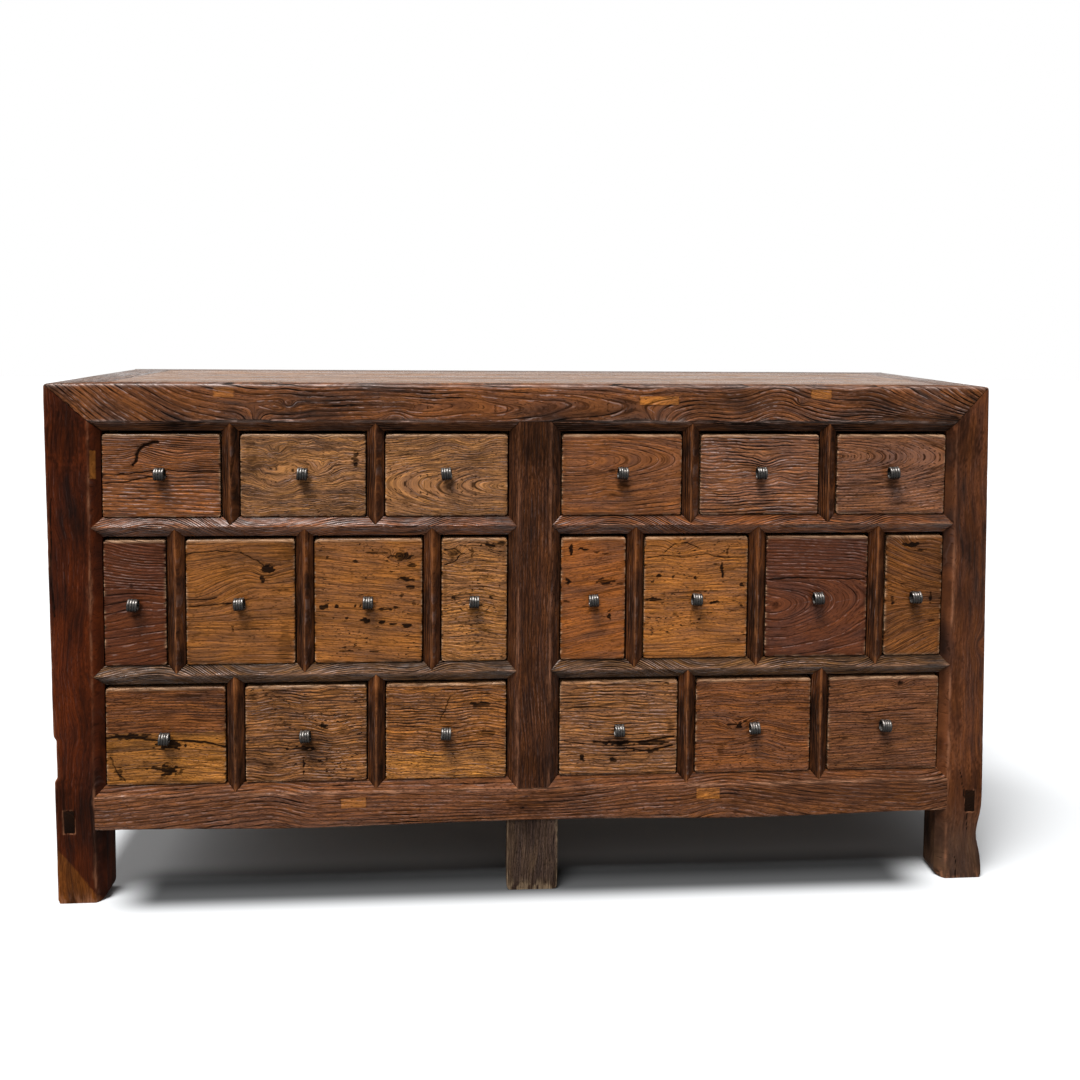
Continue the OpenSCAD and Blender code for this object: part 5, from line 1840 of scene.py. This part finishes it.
class CHEST_OT_pulls(bpy.types.Operator):
    """Roll one ribbed iron pull and copy it to each drawer"""

    bl_idname = "chest.pulls"
    bl_label = "Pulls"

    def execute(self, context):
        tones = context.scene.chest_tones
        low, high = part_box("pull_top_1")
        drawer_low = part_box("drawer_top_1")[0]
        off_front, thick, gap, rib_depth, ribs = 0.002, 0.0024, 0.0006, 0.0011, 4
        radius, half = (drawer_low.y - off_front - low.y) / 2, (high.x - low.x) / 2
        deselect()
        # section of the strip, across its width, with rounded ribs on its outer face
        bpy.ops.mesh.primitive_plane_add(size=1)
        strip = bpy.context.object
        strip.name = strip.data.name = "pull"
        strip.scale = (2 * half, thick, 1)
        settle(strip)
        cut_lengths(strip, half / 16)
        points = points_of(strip)
        rib = np.abs(
            np.cos((points[:, 0] / (2 * half) + 0.5) * ribs * math.pi + math.pi / 2)
        ) ** 0.6
        outer = points[:, 1] > 0
        points[:, 1] = np.where(outer, points[:, 1] - rib_depth * (1 - rib), points[:, 1])
        points[:, 1] += radius - thick / 2
        move_points(strip, points)
        inner_radius = radius - thick - gap
        middle = (radius + inner_radius) / 2
        # two half turns and a leaf: the angle, the middle and the steps of each
        turns = (
            (math.pi, (0, 0, 0), 20), (math.pi, (0, 0, middle - radius), 20),
            (math.radians(110), (0, 0, 0), 12),
        )
        with editing(strip, "FACE"):
            bpy.ops.mesh.select_all(action="SELECT")
            for angle, centre, steps in turns:
                bpy.ops.mesh.spin(
                    steps=steps, angle=-angle, center=centre, axis=(1, 0, 0), dupli=False
                )
        with editing(strip, "VERT"):
            bpy.ops.mesh.select_all(action="SELECT")
            bpy.ops.mesh.remove_doubles(threshold=2e-5)
            bpy.ops.mesh.normals_make_consistent(inside=False)
        smooth(strip, 60)
        material, tree = new_material("Forged iron")
        group = group_node(tree, "Forged iron")
        group.inputs["Iron"].default_value = (*rgb(tones.iron), 1)
        group.inputs["Rust"].default_value = (*rgb(tones.rust), 1)
        shade(tree, group, 0.0005, specular=0.5, metallic=0.8)
        for index, (row, number) in enumerate(drawers()):
            node = f"pull_{row}_{number}"
            obj = copy_of(strip, f"{node}_roll")
            p_low, p_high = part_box(node)
            tilt = 0.09 * math.sin(index * 2.4)
            obj.rotation_euler = (0, tilt, 0.5 * tilt)
            obj.location = ((p_low.x + p_high.x) / 2, p_low.y + radius, p_high.z - radius)
            settle(obj)
            finish(obj, material, node, f"{row}_drawer_{number}")
        bpy.data.objects.remove(strip)
        return {"FINISHED"}


def straight_rays(s):
    """1 for what the camera sees itself, in metal or through glass, and 0 for other light."""
    path = s.tree.nodes.new("ShaderNodeLightPath").outputs
    return s.most(path["Is Camera Ray"], path["Is Glossy Ray"], path["Is Transmission Ray"])


class CHEST_OT_stage(bpy.types.Operator):
    """Put the chest on a pale floor in studio light, and set the camera"""

    bl_idname = "chest.stage"
    bl_label = "Studio"

    def execute(self, context):
        stage = context.scene.chest_stage
        deselect()
        bpy.ops.mesh.primitive_plane_add(size=30, location=(0, 0, 0))
        floor = context.object
        floor.name = floor.data.name = "studio_floor"
        material, tree = new_material("Studio floor")
        s = Sheet(tree)
        tone = s.ramp(straight_rays(s), 0.0, 1.0, stage.bounce, stage.floor)
        # painted shadow: the floor is darker where it meets the front
        x, y, _ = s.xyz(add_node(tree, "ShaderNodeTexCoord").outputs["Object"])
        near = s.times(
            s.ramp(y, FRONT - 0.05, FRONT + 0.01), s.ramp(y, FRONT + 0.05, FRONT + 0.13, 1.0, 0.0),
            s.ramp(s.math("ABSOLUTE", x), POST_X - 0.09, POST_X + 0.01, 1.0, 0.0),
        )
        tone = s.times(tone, s.rest(s.times(near, stage.foot_shade)))
        cool = s.join(s.times(tone, 0.97), s.times(tone, 0.985), tone)
        surface = add_node(tree, "ShaderNodeBsdfDiffuse", Color=cool)
        end = tree.nodes.new("ShaderNodeOutputMaterial")
        tree.links.new(surface.outputs[0], end.inputs["Surface"])
        floor.data.materials.append(material)

        world = bpy.data.worlds.new("Studio")
        context.scene.world = world
        world.use_nodes = True
        tree = world.node_tree
        tree.nodes.clear()
        s = Sheet(tree)
        strength = s.ramp(straight_rays(s), 0.0, 1.0, stage.sky, 1.0)
        light = add_node(tree, "ShaderNodeBackground", Strength=strength)
        light.inputs["Color"].default_value = (1, 1, 1, 1)
        end = tree.nodes.new("ShaderNodeOutputWorld")
        tree.links.new(light.outputs[0], end.inputs["Surface"])

        lights = (
            ("studio_sun", stage.sun, stage.softness, stage.height, stage.swing),
            ("studio_side", stage.side, stage.side_softness, stage.side_height, stage.side_swing),
        )
        for name, strength, softness, height, swing in lights:
            bpy.ops.object.light_add(type="SUN", location=(0, 0, 4))
            lamp = context.object
            lamp.name = name
            lamp.data.energy = strength
            lamp.data.angle = softness
            level = math.cos(height)
            to_light = Vector(
                (-math.sin(swing) * level, -math.cos(swing) * level, math.sin(height))
            )
            lamp.rotation_mode = "QUATERNION"
            lamp.rotation_quaternion = to_light.to_track_quat("Z", "Y")

        bpy.ops.object.camera_add(location=stage.place)
        camera = context.object
        camera.name = "studio_camera"
        turn, tilt, roll = stage.turn
        ahead = Vector(
            (math.sin(turn) * math.cos(tilt), math.cos(turn) * math.cos(tilt), -math.sin(tilt))
        )
        right = Vector((math.cos(turn), -math.sin(turn), 0))
        up = right.cross(ahead)
        rolled = math.cos(roll) * right + math.sin(roll) * up
        up = math.cos(roll) * up - math.sin(roll) * right
        axes = Matrix((rolled, up, -ahead)).transposed()
        camera.rotation_mode = "QUATERNION"
        camera.rotation_quaternion = axes.to_quaternion()
        camera.data.sensor_width = 36
        camera.data.lens = stage.lens
        camera.data.shift_y = stage.rise
        context.scene.camera = camera
        context.scene.view_settings.view_transform = "Standard"
        return {"FINISHED"}


class CHEST_PT_panel(bpy.types.Panel):
    """The steps that make the chest, in order"""

    bl_idname = "CHEST_PT_panel"
    bl_label = "Apothecary chest"
    bl_space_type = "VIEW_3D"
    bl_region_type = "UI"
    bl_category = "Chest"

    def draw(self, context):
        for step in STEPS:
            self.layout.operator(step.bl_idname)
        for group in GROUPS:
            box = self.layout.box()
            box.label(text=group.__doc__)
            owner = getattr(context.scene, GROUPS[group])
            for name in group.__annotations__:
                box.prop(owner, name)


GROUPS = {
    ChestSizes: "chest_sizes", ChestTones: "chest_tones", ChestWood: "chest_wood",
    ChestStage: "chest_stage",
}
STEPS = (
    CHEST_OT_stage, CHEST_OT_groups, CHEST_OT_corner_posts, CHEST_OT_centre_post, CHEST_OT_top_rail,
    CHEST_OT_rails, CHEST_OT_bottom_rail, CHEST_OT_dividers, CHEST_OT_centre_feet,
    CHEST_OT_drawer_fronts, CHEST_OT_drawer_boxes, CHEST_OT_carcass, CHEST_OT_pulls,
)


def register():
    for group, name in GROUPS.items():
        bpy.utils.register_class(group)
        setattr(bpy.types.Scene, name, PointerProperty(type=group))
    for kind in (*STEPS, CHEST_PT_panel):
        bpy.utils.register_class(kind)


def unregister():
    for kind in (CHEST_PT_panel, *reversed(STEPS)):
        bpy.utils.unregister_class(kind)
    for group, name in GROUPS.items():
        delattr(bpy.types.Scene, name)
        bpy.utils.unregister_class(group)


def main():
    """Makes the chest's looks."""
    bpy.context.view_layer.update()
    register()
    for step in STEPS:
        getattr(bpy.ops.chest, step.bl_idname.split(".")[1])()


if __name__ == "__main__":
    main()
